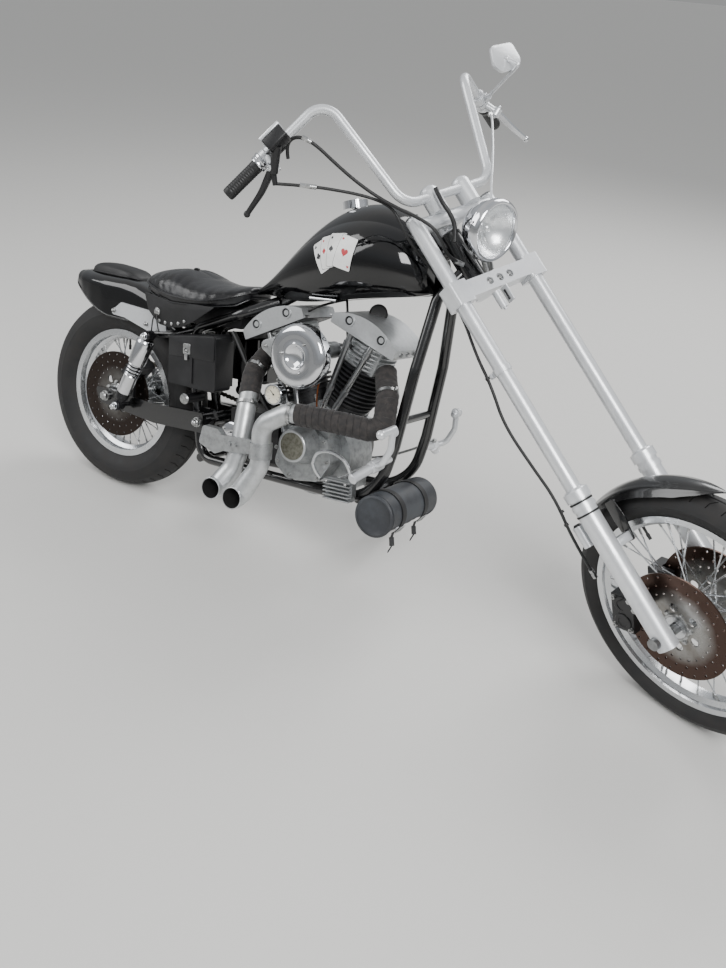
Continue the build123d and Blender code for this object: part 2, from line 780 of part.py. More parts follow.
def frame_loop(side, radius):
    """One side of the cradle: from the head down, along the rail, up behind the engine to the backbone."""
    loop = [head_axis(downtube_z), (322, side * 52, 491), (294, side * 90, 296),
                (257, side * 100, 80), (front_corner_x, side * 108, rail_z), (-478, side * 52, rail_z),
                (-520, side * upright_half, 184), (seat_cross_at[0], side * 60, seat_cross_at[1]), (-311, side * 84, 388),
                (-222, side * 14, 432)]
    return tube(loop, radius, [40, 90, 90, front_bend, 60, 60, 50, 60])


def frame():
    """Twin cradle with a single backbone, all round tube, and the cast steering head."""
    head = rod(head_axis(head_tube_low), head_axis(head_tube_high), head_tube_radius)
    parts = [head, backbone(backbone_radius)]
    for side in (-1, 1):
        parts.append(frame_loop(side, frame_tube))
        rear = [(seat_cross_at[0], side * 60, seat_cross_at[1]), (-560, side * rear_tube_half, 300),
                (-664, side * rear_tube_half, shock_high[1])]
        parts.append(tube(rear, rear_tube_radius, 30))
        lug = outline([(-520, 75), (-436, 70), (-420, 35), (-436, 0), (-510, -20)], 8)
        parts.append(slab(lug, *sorted((side * (upright_half - 8), side * (upright_half + 8)))))
    parts.append(facing(seat_cross_at, 13, -60, 60))
    parts.append(rod((-478, -60, rail_z), (-478, 60, rail_z), 14))
    parts.append(rod((152, -104, rail_z), (152, 104, rail_z), 13))
    parts.append(rod((264, -98, 150), (264, 98, 150), 11))
    whole = parts[0]
    for piece in parts[1:]:
        whole += piece
    pivot, leg, hinge = stand_geometry()
    plate_top = pivot - hinge * (stand_eye_half + pin_gap)
    plate_low = plate_top - hinge * 11
    whole += rod(tuple(plate_low), tuple(plate_top), stand_eye_radius)
    whole += rod(tuple(plate_low), tuple(pivot + hinge * stand_eye_half), stand_pin_radius)
    whole += rod(tuple(plate_low - hinge * 2), (stand_pivot[0], 102, rail_z - 12), 7)
    whole -= disc(pivot_at, pivot_radius + seat_gap, -130, 130)
    return whole - rod(head_axis(head_tube_low - 60), head_axis(head_tube_high + 60), stem_radius + pin_gap)


def swingarm():
    """Two arms from the pivot tube to the rear axle."""
    def one(side):
        arm = outline([(-905, 90), (-880, 36), (-640, 2), (-430, 2), (-430, 66), (-640, 66)], 10)
        return slab(arm, *sorted((side * arm_inner, side * arm_outer)))
    cross = disc(pivot_at, pivot_radius, -arm_outer - 1, arm_outer + 1)
    arms = one(-1) + one(1) + cross
    return arms - disc(rear_axle, axle_radius + seat_gap, -130, 130)


def rear_axle_set():
    half = arm_outer + 6
    shaft = disc(rear_axle, axle_radius, -half, half)
    nuts = disc(rear_axle, 16, -half, -arm_outer - seat_gap) + disc(rear_axle, 16, arm_outer + seat_gap, half)
    inner = arm_inner - seat_gap
    spacers = disc(rear_axle, 15, -inner, -rear_hub_end - 1) + disc(rear_axle, 15, rear_hub_end + 1, inner)
    return shaft + nuts + spacers


def shock(side):
    """A coil-over shock: cover above, a few open coils, a bright foot below."""
    start = Vector(shock_low[0], side * shock_y, shock_low[1])
    end = Vector(shock_high[0], side * shock_y, shock_high[1])
    way = (end - start).normalized()
    length = (end - start).length

    def band(low, high, radius):
        return rod(tuple(start + way * low), tuple(start + way * high), radius)

    foot_low, foot_high = shock_foot_span
    coil_top = length - 12 - shock_cover_length
    pitch = (coil_top - foot_high) / shock_coils
    whole = band(0, length, 13) + band(foot_low, foot_high, shock_foot) + band(coil_top, length - 12, shock_cover)
    for i in range(shock_coils):
        low = foot_high + pitch * (i + 0.5) - shock_wire / 2
        whole += band(low, low + shock_wire, shock_cover - 2)
    for point, seat in ((start, arm_outer), (end, rear_tube_half + rear_tube_radius)):
        whole += Pos(point.X, point.Y, point.Z) * Rot(90, 0, 0) * Cylinder(17, 30)
        bolt_low, bolt_high = sorted((side * (seat + seat_gap), side * (shock_y + 20)))
        whole += facing((point.X, point.Z), 8, bolt_low, bolt_high)
    return whole


def tail_block(inset, below):
    """The rear fender's outside, moved in by inset, its sides running down to a given depth."""
    top = FilletPolyline(*[(x, z - inset) for x, z in tail_top], radius=tail_bend)
    first, last = top @ 0, top @ 1
    under = [(last.X, last.Y)] + [(x, z - below) for x, z in tail_under] + [(first.X, first.Y)]
    side_face = make_face([*top.edges(), *Polyline(*under).edges()])
    half = rear_fender_half - inset
    narrow = tail_half - inset
    front, back = tail_top[-1][0] + 20 * inset, tail_top[0][0] - 20 * inset
    plan = outline([(front, -half), (front, half), (tail_taper_x, half), (back, narrow), (back, -narrow),
                    (tail_taper_x, -half)])
    return slab(side_face, -half, half) & slab_up(plan, 0, 600)


def rear_fender():
    """A deep guard with flat sides that kicks up into a narrow tail."""
    return tail_block(0, 0) - tail_block(rear_fender_wall, 200)


def fender_struts():
    """Bright plates between the rear tubes and the fender's sides."""
    def one(side):
        plate = outline([(-850, 338), (-796, 378), (-660, 362), (-600, 322), (-600, 282), (-660, 292), (-780, 330)], 8)
        return slab(plate, *sorted((side * (rear_fender_half + seat_gap),
                                    side * (rear_tube_half - rear_tube_radius - seat_gap))))
    return pair(one)


def tail_light_body():
    """The lamp under the kick of the tail."""
    block = Pos(*tail_light_at) * Box(*tail_light)
    return block & (Pos(0, 0, -seat_gap) * tail_block(rear_fender_wall, 200))


def passenger_pad():
    face = outline(pad_side, pad_round)
    return slab(face, -pad_half, pad_half) - Pos(0, 0, seat_gap) * tail_block(0, 60)


def tank_section(x, half, bottom, wide, top):
    foot = half * 0.6
    edge = half * 0.66
    edge_z = wide + (top - wide) * 0.70
    return Plane(origin=(x, 0, 0), x_dir=(0, 1, 0), z_dir=(1, 0, 0)) * make_face([
        Line((-foot, bottom), (foot, bottom)),
        ThreePointArc((foot, bottom), (half, wide), (edge, edge_z)),
        ThreePointArc((edge, edge_z), (0, top), (-edge, edge_z)),
        ThreePointArc((-edge, edge_z), (-half, wide), (-foot, bottom)),
    ])


def fuel_tank():
    body = loft([tank_section(*station) for station in tank_stations])
    width = backbone_radius + tunnel_gap
    start = head_axis(head_tube_high - 40)
    line = [(start[0] + 40, start[2] + 20)] + [(x, z) for x, y, z in backbone_middle]
    slot = slab(outline(line + [(line[-1][0], 300), (line[0][0], 300)]), -width, width)
    return body - backbone(width) - slot


def filler_cap():
    return Pos(*cap_at) * Rot(0, -cap_tilt, 0) * Pos(0, 0, cap_height / 2) * Cylinder(cap_radius, cap_height) - fuel_tank()


def seat():
    """The solo seat: a low front and a raised back, narrow at the nose and tail."""
    left = list(seat_plan)
    plan = outline(left + [(x, -y) for x, y in left[::-1]])
    half = max(y for x, y in seat_plan)
    return slab(outline(seat_side, seat_round), -half, half) & slab_up(plan, 300, 600)


def side_box(side):
    """A box beside the frame, its inner part between the tubes."""
    outer_y, middle_y, inner_y = [side * y for y in box_y]
    face = outline([(box_x[0], box_z[0] + 10), (box_x[0], box_z[1] - 18), (box_x[1], box_z[1]), (box_x[1], box_z[0])],
                   box_round)
    inner = outline([(box_inner_x[0], box_inner_z[0]), (box_inner_x[0], box_inner_z[1]),
                     (box_inner_x[1], box_inner_z[1]), (box_inner_x[1], box_inner_z[0])])
    lid = facing(latch_at, 7, *sorted((outer_y, outer_y + side * 6)))
    peg = facing(box_peg_at, 15, *sorted((middle_y, outer_y + side * 4)))
    arm = slab(outline([(box_peg_at[0] - 8, box_peg_at[1]), (box_peg_at[0] + 8, box_peg_at[1]),
                        (box_peg_at[0] + 8, box_z[0] + 20), (box_peg_at[0] - 8, box_z[0] + 20)]),
               *sorted((middle_y, middle_y + side * 12)))
    return (slab(face, *sorted((outer_y, middle_y))) + slab(inner, *sorted((middle_y, inner_y)))
            + lid + peg + arm)


def battery_box():
    return side_box(-1)


def oil_tank():
    return side_box(1)


def engine(shape):
    """An engine piece from its own frame about the crankshaft."""
    return Pos(engine_x, 0, 0) * shape


def bank(shape, angle):
    """A piece of one cylinder from its own frame: Z up the bore, X ahead."""
    return engine(Rot(0, angle, 0) * shape)


def crankcase():
    body = disc((0, 0, 0), crankcase_radius, -crankcase_half, crankcase_half)
    long, wide, high = crankcase_foot
    body += Pos(0, 0, rail_z + high / 2) * Box(long, wide, high)
    for angle in (bank_angle, -bank_angle):
        body += Rot(0, angle, 0) * Pos(0, 0, deck_height / 2) * Box(*deck, deck_height)
    return engine(body)


def fin_stack(low, high, count, radius, limit):
    """The half profile of a stack of round fins, none wider than limit(z)."""
    pitch = (high - low) / count
    points = [(0, low)]
    for i in range(count):
        z = low + pitch * i
        edge = min(radius, limit(z))
        root = min(radius - fin_depth, edge - 4)
        gap = pitch - fin_thickness
        points += [(root, z), (root, z + gap), (edge, z + gap), (edge, z + pitch - 0.4)]
    return points + [(0, high - 0.4)]


def barrel(angle):
    """One finned cylinder, its fins kept short of the other bank."""
    def limit(z):
        return z * tan(radians(bank_angle)) - 1
    low = deck_height + seat_gap
    profile = fin_stack(low, barrel_top, barrel_fins, barrel_radius, limit)
    return bank(revolve(Plane.XZ * make_face(Polyline(*profile, close=True)), axis=Axis.Z), angle)


def rocker_box():
    """The rocker box: straight foot, ends, and an arched top."""
    half = rocker_half_length
    return make_face([
        Line((-half, head_top), (half, head_top)),
        Line((half, head_top), (half, rocker_end)),
        ThreePointArc((half, rocker_end), (0, rocker_crest), (-half, rocker_end)),
        Line((-half, rocker_end), (-half, head_top)),
    ])


def cylinder_head(angle):
    """One head: round fins, the core with its ports, and the arched rocker box with two plugs."""
    def limit(z):
        return barrel_radius
    profile = fin_stack(barrel_top, head_top, head_fins, barrel_radius, limit)
    fins = revolve(Plane.XZ * make_face(Polyline(*profile, close=True)), axis=Axis.Z)
    core = Pos(0, 0, (barrel_top + head_top) / 2) * Box(*head_core, head_top - barrel_top)
    rocker = slab(rocker_box(), -rocker_right, rocker_left)
    for u in (-rocker_plug_u, rocker_plug_u):
        rocker += facing((u, rocker_plug_w), rocker_plug_radius + 4, -rocker_right - 3, -rocker_right)
        rocker -= facing((u, rocker_plug_w), rocker_plug_radius, -rocker_right - 3, -rocker_right + rocker_plug_depth)
        rocker += facing((u, rocker_plug_w), rocker_plug_radius - 5, -rocker_right, -rocker_right + rocker_plug_depth)
    return bank(fins + core + rocker, angle)


def pushrod_tubes():
    """Four telescoping tubes from the tappet blocks up to the heads."""
    tubes = []
    for side in (-1, 1):
        for foot_x, top in zip(pushrod_feet, pushrod_tops):
            start = Vector(side * foot_x, pushrod_foot_y, pushrod_foot_z)
            end = Vector(side * top[0], top[1], top[2])
            one = rod(tuple(start), tuple(end), pushrod_radius)
            for low, high in ((0.04, 0.10), (0.36, 0.42), (0.86, 0.92)):
                one += rod(tuple(start + (end - start) * low), tuple(start + (end - start) * high), pushrod_collar)
            tubes.append(engine(one))
    cut = gear_cover() + cylinder_head(bank_angle) + cylinder_head(-bank_angle)
    return Compound([one - cut for one in tubes])


def gear_cover():
    """The cam chest on the right with its tappet blocks and the round timer cover."""
    chest = slab(outline(cam_face, 24), cam_cover_y, -crankcase_half - seat_gap)
    cone = revolve(Plane.YZ * make_face(Polyline(
        (cam_cover_y, 0), (cam_cover_y, timer_base_radius), (timer_y + 10, timer_radius), (timer_y, timer_radius),
        (timer_y, timer_radius - 5), (timer_y + timer_recess, timer_radius - 5), (timer_y + timer_recess, 0),
        close=True)), axis=Axis.Y)
    tappets = [Pos(side * sum(pushrod_feet) / 2, -102, 94) * Box(*tappet) for side in (-1, 1)]
    return engine(chest + Pos(0, 0, timer_z) * cone + tappets)


def carburettor():
    """The carburettor's barrel and its runners, fitted between the heads."""
    x = engine_x
    body = facing((cleaner_at[0], intake_z), carburettor_radius, cleaner_y[0], -14)
    runner = rod((x - 90, 0, intake_z), (x + 90, 0, intake_z), runner_radius)
    heads = barrel(bank_angle) + barrel(-bank_angle) + cylinder_head(bank_angle) + cylinder_head(-bank_angle)
    return body + runner - heads


def air_cleaner():
    """A drop-shaped back plate and a round domed cover with a dish in its middle."""
    back_y, plate_y, rim_y, face_y = cleaner_y
    back_y -= seat_gap
    plate = make_hull((Pos(*cleaner_at) * Circle(cleaner_radius - 6)).edges()
                      + (Pos(*cleaner_corner) * Circle(cleaner_corner_radius)).edges())
    dish_y = face_y + cleaner_dish_depth
    cover = make_face([
        Line((plate_y, 0), (plate_y, cleaner_radius)),
        Line((plate_y, cleaner_radius), (rim_y, cleaner_radius)),
        Line((rim_y, cleaner_radius), (face_y + 6, cleaner_radius - 4)),
        Line((face_y + 6, cleaner_radius - 4), (face_y + 2, cleaner_radius - 13)),
        Line((face_y + 2, cleaner_radius - 13), (face_y, cleaner_face_radius)),
        Line((face_y, cleaner_face_radius), (face_y, cleaner_dish_radius)),
        Line((face_y, cleaner_dish_radius), (dish_y, cleaner_dish_radius * 0.6)),
        Line((dish_y, cleaner_dish_radius * 0.6), (dish_y, 0)),
        Line((dish_y, 0), (plate_y, 0)),
    ])
    cover = Pos(cleaner_at[0], 0, cleaner_at[1]) * revolve(Plane.YZ * cover, axis=Axis.Y)
    return slab(plate, plate_y, back_y) + cover


def exhaust(route, bends):
    """One pipe, its tail open."""
    pipe = tube(route, pipe_radius, bends)
    end = Vector(*route[-1])
    way = (Vector(*route[-2]) - end).normalized()
    return pipe - rod(tuple(end - way), tuple(end + way * outlet_depth), pipe_radius - pipe_wall)


def front_exhaust():
    return exhaust(front_pipe_route, front_pipe_bends) - cylinder_head(bank_angle)


def rear_exhaust():
    return exhaust(rear_pipe_route, rear_pipe_bends) - cylinder_head(-bank_angle)


def exhaust_clamp():
    """A ring on the front pipe, a bolted plate over the rear one and the casting behind them."""
    low, high = clamp_z
    top, foot = Vector(*front_pipe_route[5]), Vector(*front_pipe_route[6])
    run = (foot - top) / (foot.Z - top.Z)
    ring = rod(tuple(top + run * (low - top.Z)), tuple(top + run * (high - top.Z)), pipe_radius + clamp_wall)
    plate_y = min(rear_pipe_route[3][1], rear_pipe_route[2][1]) - pipe_radius - seat_gap
    plate = slab(outline(clamp_plate, 4), plate_y - clamp_wall - 3, plate_y)
    casting = slab(outline(clamp_casting, 10), *clamp_casting_y)
    bolts = [facing((x, 30), clamp_bolt, plate_y - clamp_wall - 9, plate_y - clamp_wall)
             for x in (-208, -186)]
    whole = ring + plate + casting + bolts
    for route, bends in ((front_pipe_route, front_pipe_bends), (rear_pipe_route, rear_pipe_bends)):
        whole -= tube(route, pipe_radius + seat_gap, bends)
    return whole


def oil_gauge():
    back_y, face_y = gauge_y
    x, z = gauge_at
    stem = tube([(x, back_y - 2, z), (x, gauge_stem_y, z), (gauge_foot[0], gauge_stem_y, gauge_foot[1])], gauge_stem, 8)
    return facing(gauge_at, gauge_radius, face_y, back_y) + stem - gear_cover()


def gearbox_case():
    long, wide, high = gearbox
    front = engine_x - crankcase_radius - case_gap
    body = Pos(front - long / 2, gearbox_y, gearbox_at[2]) * Box(long, wide, high)
    return body + disc(gearbox_at, gearbox_cover, -128, -70)


def primary_cover():
    """The long cover over the primary drive on the left."""
    hull = make_hull((Pos(engine_x, primary_z[0]) * Circle(primary_radii[0])).edges()
                     + (Pos(gearbox_at[0], primary_z[1]) * Circle(primary_radii[1])).edges())
    return slab(hull, *primary_y)


def drive_chain():
    """The chain as one loop about both sprockets."""
    def loop(depth):
        front = Pos(gearbox_at[0], gearbox_at[2]) * Circle(front_sprocket_radius + depth)
        rear = Pos(rear_axle[0], rear_axle[2]) * Circle(sprocket_radius + chain_gap + depth)
        return make_hull(front.edges() + rear.edges())
    return slab(loop(chain_depth) - loop(0), sprocket_y - chain_half, sprocket_y + chain_half)


def peg_line(side):
    """Where a peg's bare pin starts, and the way it points."""
    way = Vector(*side_of(peg_way, side)).normalized()
    return Vector(*side_of(peg_at, side)) + way * peg_collar, way


def foot_control(side):
    """Peg with its mount, and the bent tube up to the pedal's peg."""
    pin_start, way = peg_line(side)
    peg = rod(tuple(pin_start), tuple(pin_start + way * peg_length), peg_radius)
    collar = rod(tuple(pin_start - way * 2 * peg_collar), tuple(pin_start), peg_radius + 5)
    mount = rod(side_of(control_mount, side), tuple(pin_start - way * 1.5 * peg_collar), control_mount_radius)
    route = [side_of(point, side) for point in control_route]
    arm = tube(route, control_tube, 28)
    pad = rod(tuple(Vector(*route[-1]) - Vector(0, side * 12, -4)), side_of(pedal_end, side), pedal_radius)
    whole = collar + mount + arm + pad - rod(tuple(pin_start), tuple(pin_start + way * (peg_length + 40)), peg_radius + 5)
    return whole + peg - frame_loop(side, frame_tube + seat_gap)


def forward_controls():
    return pair(foot_control)


def regulator():
    """A finned case outside the right rail."""
    x_low, x_high = regulator_x
    y_low, y_high = regulator_y
    z_low, z_high = regulator_z
    case = Pos((x_low + x_high) / 2, (y_low + y_high) / 2, (z_low + z_high) / 2) * Box(x_high - x_low, y_high - y_low,
                                                                                       z_high - z_low)
    pitch = (x_high - x_low - regulator_fin) / regulator_fins
    for i in range(regulator_fins):
        x = x_low + regulator_fin + pitch * (i + 0.5) - regulator_fin / 4
        case -= Pos(x, y_low, 0) * Box(pitch - regulator_fin, 2 * regulator_fin_depth, 400)
    lug = Pos((x_low + x_high) / 2, y_high + 8, rail_z) * Box(30, 24, 10)
    return case + lug - frame_loop(-1, frame_tube + seat_gap)


def tool_roll():
    return Pos(roll_at[0], roll_y, roll_at[1]) * Rot(90, 0, 0) * Cylinder(roll_radius, roll_length)


def rear_caliper():
    body = Pos(-752, -rear_disc_y, 160) * Rot(0, 45, 0) * Box(60, 52, 90)
    slot = disc(rear_axle, rear_disc_radius + 6, -rear_disc_y - 8, -rear_disc_y + 8)
    lug = slab(outline([(-790, 66.5), (-740, 66.5), (-730, 180), (-770, 180)]), -arm_inner - 6, -rear_disc_y - 25)
    return body + lug - slot - swingarm()



# Placing

def fork_location(turn):
    """The fork frame in the chassis frame with the bars turned."""
    straight = Location(front_axle_at, (0, -rake, 0))
    return straight * Pos(-leg_offset, 0, 0) * Rot(0, 0, turn) * Pos(leg_offset, 0, 0)


def tyre_bottom(place, profile):
    """The height of the lowest point of a tyre whose wheel is placed so."""
    centre = place.position
    axle_way = (place * Pos(0, 1, 0)).position - centre
    flat = hypot(axle_way.X, axle_way.Y)
    return centre.Z - max(r * flat + abs(y * axle_way.Z) for y, r in profile)


def chassis_location(pitch):
    """The chassis frame in the world, leaning, with the rear tyre on the ground."""
    turned_frame = Rot(-lean, 0, 0) * Rot(0, -pitch, 0) * Pos(-rear_axle[0], 0, -rear_axle[2])
    drop = tyre_bottom(turned_frame * Pos(*rear_axle), tyre_profile(*rear_tyre_sizes))
    return Pos(0, 0, -drop) * turned_frame


def stance():
    """The pitch that sets the front tyre on the ground too."""
    low, high = 0.0, 20.0
    for _ in range(40):
        middle = (low + high) / 2
        place = chassis_location(middle) * fork_location(steer_angle)
        if tyre_bottom(place, tyre_profile(*front_tyre_sizes)) > 0:
            high = middle
        else:
            low = middle
    return chassis_location((low + high) / 2)


front_tyre_sizes = (front_tyre_radius, front_tyre_width, front_crown, front_rim_radius, front_rim_width)
rear_tyre_sizes = (rear_tyre_radius, rear_tyre_width, rear_crown, rear_rim_radius, rear_rim_width)
chassis_at = stance()
fork_at = chassis_at * fork_location(steer_angle)
rear_wheel_at = chassis_at * Pos(*rear_axle)


def stand_geometry():
    """The stand's pivot, the way along its leg and its hinge axis, in the chassis frame."""
    pivot = Vector(*stand_pivot)
    foot = (chassis_at.inverse() * Pos(*stand_foot)).position
    leg = (foot - pivot).normalized()
    hinge = leg.cross(Vector(*stand_stowed)).normalized()
    return pivot, leg, hinge


def side_stand():
    """The leg from its eye to a flat foot on the ground."""
    pivot, leg, hinge = stand_geometry()
    eye = rod(tuple(pivot - hinge * stand_eye_half), tuple(pivot + hinge * stand_eye_half), stand_eye_radius)
    foot = (chassis_at.inverse() * Pos(*stand_foot)).position
    arm = chassis_at * (rod(tuple(pivot), tuple(foot), stand_leg_radius) + eye)
    pin = chassis_at * rod(tuple(pivot - hinge * 40), tuple(pivot + hinge * 40), stand_pin_radius + pin_gap)
    pad = Pos(stand_foot[0], stand_foot[1], foot_thickness / 2) * Cylinder(foot_radius, foot_thickness)
    ground = Pos(stand_foot[0], stand_foot[1], -30) * Box(200, 200, 60)
    return arm + pad - pin - ground


chassis_nodes = {
    "frame": frame(),
    "swingarm": swingarm(),
    "rear_axle": rear_axle_set(),
    "shocks": pair(shock),
    "rear_fender": rear_fender(),
    "fender_struts": fender_struts(),
    "tail_light": tail_light_body(),
    "passenger_pad": passenger_pad(),
    "fuel_tank": fuel_tank(),
    "filler_cap": filler_cap(),
    "seat": seat(),
    "battery_box": battery_box(),
    "oil_tank": oil_tank(),
    "crankcase": crankcase(),
    "gear_cover": gear_cover(),
    "cylinders": Compound([barrel(bank_angle), barrel(-bank_angle)]),
    "cylinder_heads": Compound([cylinder_head(bank_angle), cylinder_head(-bank_angle)]),
    "pushrod_tubes": pushrod_tubes(),
    "carburettor": carburettor(),
    "air_cleaner": air_cleaner(),
    "exhausts": Compound([front_exhaust(), rear_exhaust()]),
    "exhaust_clamp": exhaust_clamp(),
    "oil_gauge": oil_gauge(),
    "gearbox": gearbox_case(),
    "primary_cover": primary_cover(),
    "drive_chain": drive_chain(),
    "forward_controls": forward_controls(),
    "regulator": regulator(),
    "rear_caliper": rear_caliper(),
    "tool_roll": tool_roll(),
}
fork_nodes = {
    "fork_trees": fork_trees(),
    "fork_tubes": fork_tubes(),
    "fork_sliders": fork_sliders(),
    "front_axle": front_axle(),
    "handlebar": handlebar(),
    "grips": grips(),
    "hand_controls": hand_controls(),
    "mirror": mirror_set(),
    "headlight": headlight(),
    "headlight_lens": headlight_lens(),
    "front_fender": front_fender(),
    "front_calipers": front_calipers(),
    "front_tyre": tyre(*front_tyre_sizes, front_bead_radius),
    "front_wire_wheel": wire_wheel(front_rim_radius, front_rim_width, front_bead_radius, front_flange_y,
                                   front_hub_end),
    "front_discs": front_discs(),
}
rear_wheel_nodes = {
    "rear_tyre": tyre(*rear_tyre_sizes, rear_bead_radius),
    "rear_wire_wheel": wire_wheel(rear_rim_radius, rear_rim_width, rear_bead_radius, rear_flange_y,
                                  rear_hub_end),
    "rear_disc": rear_disc(),
    "rear_sprocket": sprocket(),
}

placed = {name: chassis_at * shape for name, shape in chassis_nodes.items()}
placed.update({name: fork_at * shape for name, shape in fork_nodes.items()})
placed.update({name: rear_wheel_at * shape for name, shape in rear_wheel_nodes.items()})
placed.update({name: fork_at * cord(name) for name in cords})
placed["side_stand"] = side_stand()

box = Compound(list(placed.values())).bounding_box()
to_origin = Pos(-(box.min.X + box.max.X) / 2, -(box.min.Y + box.max.Y) / 2, 0)

os.makedirs("parts", exist_ok=True)
for name, shape in placed.items():
    export_step(to_origin * shape, f"parts/{name}.step")
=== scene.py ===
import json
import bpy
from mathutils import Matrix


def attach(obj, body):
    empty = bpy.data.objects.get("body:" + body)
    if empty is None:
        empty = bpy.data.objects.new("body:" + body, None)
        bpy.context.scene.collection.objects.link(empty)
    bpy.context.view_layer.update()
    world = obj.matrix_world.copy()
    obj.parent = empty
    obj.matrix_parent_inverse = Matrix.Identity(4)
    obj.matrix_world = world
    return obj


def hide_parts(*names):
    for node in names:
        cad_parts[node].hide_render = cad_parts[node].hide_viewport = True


bl_info = {
    "name": "Chopper motorcycle",
    "version": (1, 0, 0),
    "blender": (4, 5, 0),
    "location": "3D View > Sidebar > Chopper",
    "description": "Dresses the packed solids of a long-forked chopper with its finishes and fine parts",
    "category": "Object",
}

from bisect import bisect_right
from math import asin, atan2, cos, exp, hypot, pi, radians, sin, sqrt, tau

import bmesh
import bpy
from mathutils import Matrix, Vector
from mathutils.bvhtree import BVHTree

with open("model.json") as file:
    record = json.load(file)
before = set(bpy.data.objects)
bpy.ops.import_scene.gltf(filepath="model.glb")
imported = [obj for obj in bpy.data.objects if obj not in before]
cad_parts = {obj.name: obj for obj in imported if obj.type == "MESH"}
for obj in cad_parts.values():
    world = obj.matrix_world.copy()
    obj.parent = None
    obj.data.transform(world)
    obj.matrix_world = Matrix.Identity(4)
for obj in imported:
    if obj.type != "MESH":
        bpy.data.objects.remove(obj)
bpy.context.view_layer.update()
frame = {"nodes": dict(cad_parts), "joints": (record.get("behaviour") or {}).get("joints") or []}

# Sizes are in millimetres in the frames that the part's source uses. The chassis has its origin at
# the crankshaft, X along the lower rails, Y left and Z up. The fork has its origin at the front axle,
# Z up the legs, X forward and Y left.
MM = 0.001
# points of a piece that are closer than this are joined
WELD = 0.02
RAKE = radians(39.8)
# how far the steering stem lies behind the legs, and each leg from the middle
STEM_BACK = 54.9
LEG_Y = 132
REAR_AXLE = Vector((-850, 0, 63))
ENGINE = Vector((-28, 0, 0))
BANK = radians(22.5)
CAMERA_FROM_REAR_AXLE = Vector((2.0881, -1.9536, 1.3425))
JOINTS = {joint["name"]: joint for joint in frame["joints"]}


def axes(origin, x, y, z):
    """A frame's matrix from its origin in metres and its three directions; it takes millimetres."""
    turn = Matrix((x, y, z)).transposed().to_4x4()
    return Matrix.Translation(origin) @ turn @ Matrix.Scale(MM, 4)


def chassis_frame():
    across = Vector(JOINTS["rear_wheel_spin"]["axis"])
    stem = Vector(JOINTS["steering"]["axis"])
    ahead = across.cross(stem)
    # the bars are turned about the stem, so the chassis' own side comes from the rear axle
    x = ahead * cos(RAKE) - stem * sin(RAKE)
    z = ahead * sin(RAKE) + stem * cos(RAKE)
    turned = axes(Vector(), x, across, z)
    return Matrix.Translation(Vector(JOINTS["rear_wheel_spin"]["pos_m"]) - turned @ REAR_AXLE) @ turned


def fork_frame():
    across = Vector(JOINTS["front_wheel_spin"]["axis"])
    stem = Vector(JOINTS["steering"]["axis"])
    return axes(Vector(JOINTS["front_wheel_spin"]["pos_m"]), across.cross(stem), across, stem)


CHASSIS = chassis_frame()
FORK = fork_frame()
REAR_WHEEL = CHASSIS @ Matrix.Translation(REAR_AXLE)
PLACES = {"chassis": CHASSIS, "stand": CHASSIS, "fork": FORK, "front_wheel": FORK,
          "rear_wheel": REAR_WHEEL}


# Materials

def linear(hex_colour):
    """An sRGB hex colour as linear red, green, blue and alpha."""
    channels = [int(hex_colour[i:i + 2], 16) / 255 for i in (1, 3, 5)]
    return [c / 12.92 if c <= 0.04045 else ((c + 0.055) / 1.055) ** 2.4 for c in channels] + [1.0]


def add(material, kind, settings=(), links=()):
    """A node with its settings and the sockets that feed it."""
    node = material.node_tree.nodes.new(kind)
    for key, value in dict(settings).items():
        if isinstance(key, int) or key in node.inputs:
            node.inputs[key].default_value = value
        else:
            setattr(node, key, value)
    for key, source in dict(links).items():
        material.node_tree.links.new(source, node.inputs[key])
    return node


# how wide the blend between a finish's two colours is, as a share of the cloud noise
WORN_BLEND = 0.26
# the gloss swings by these factors about its middle, with the same clouds
GLOSS_SWING = (0.82, 1.25)


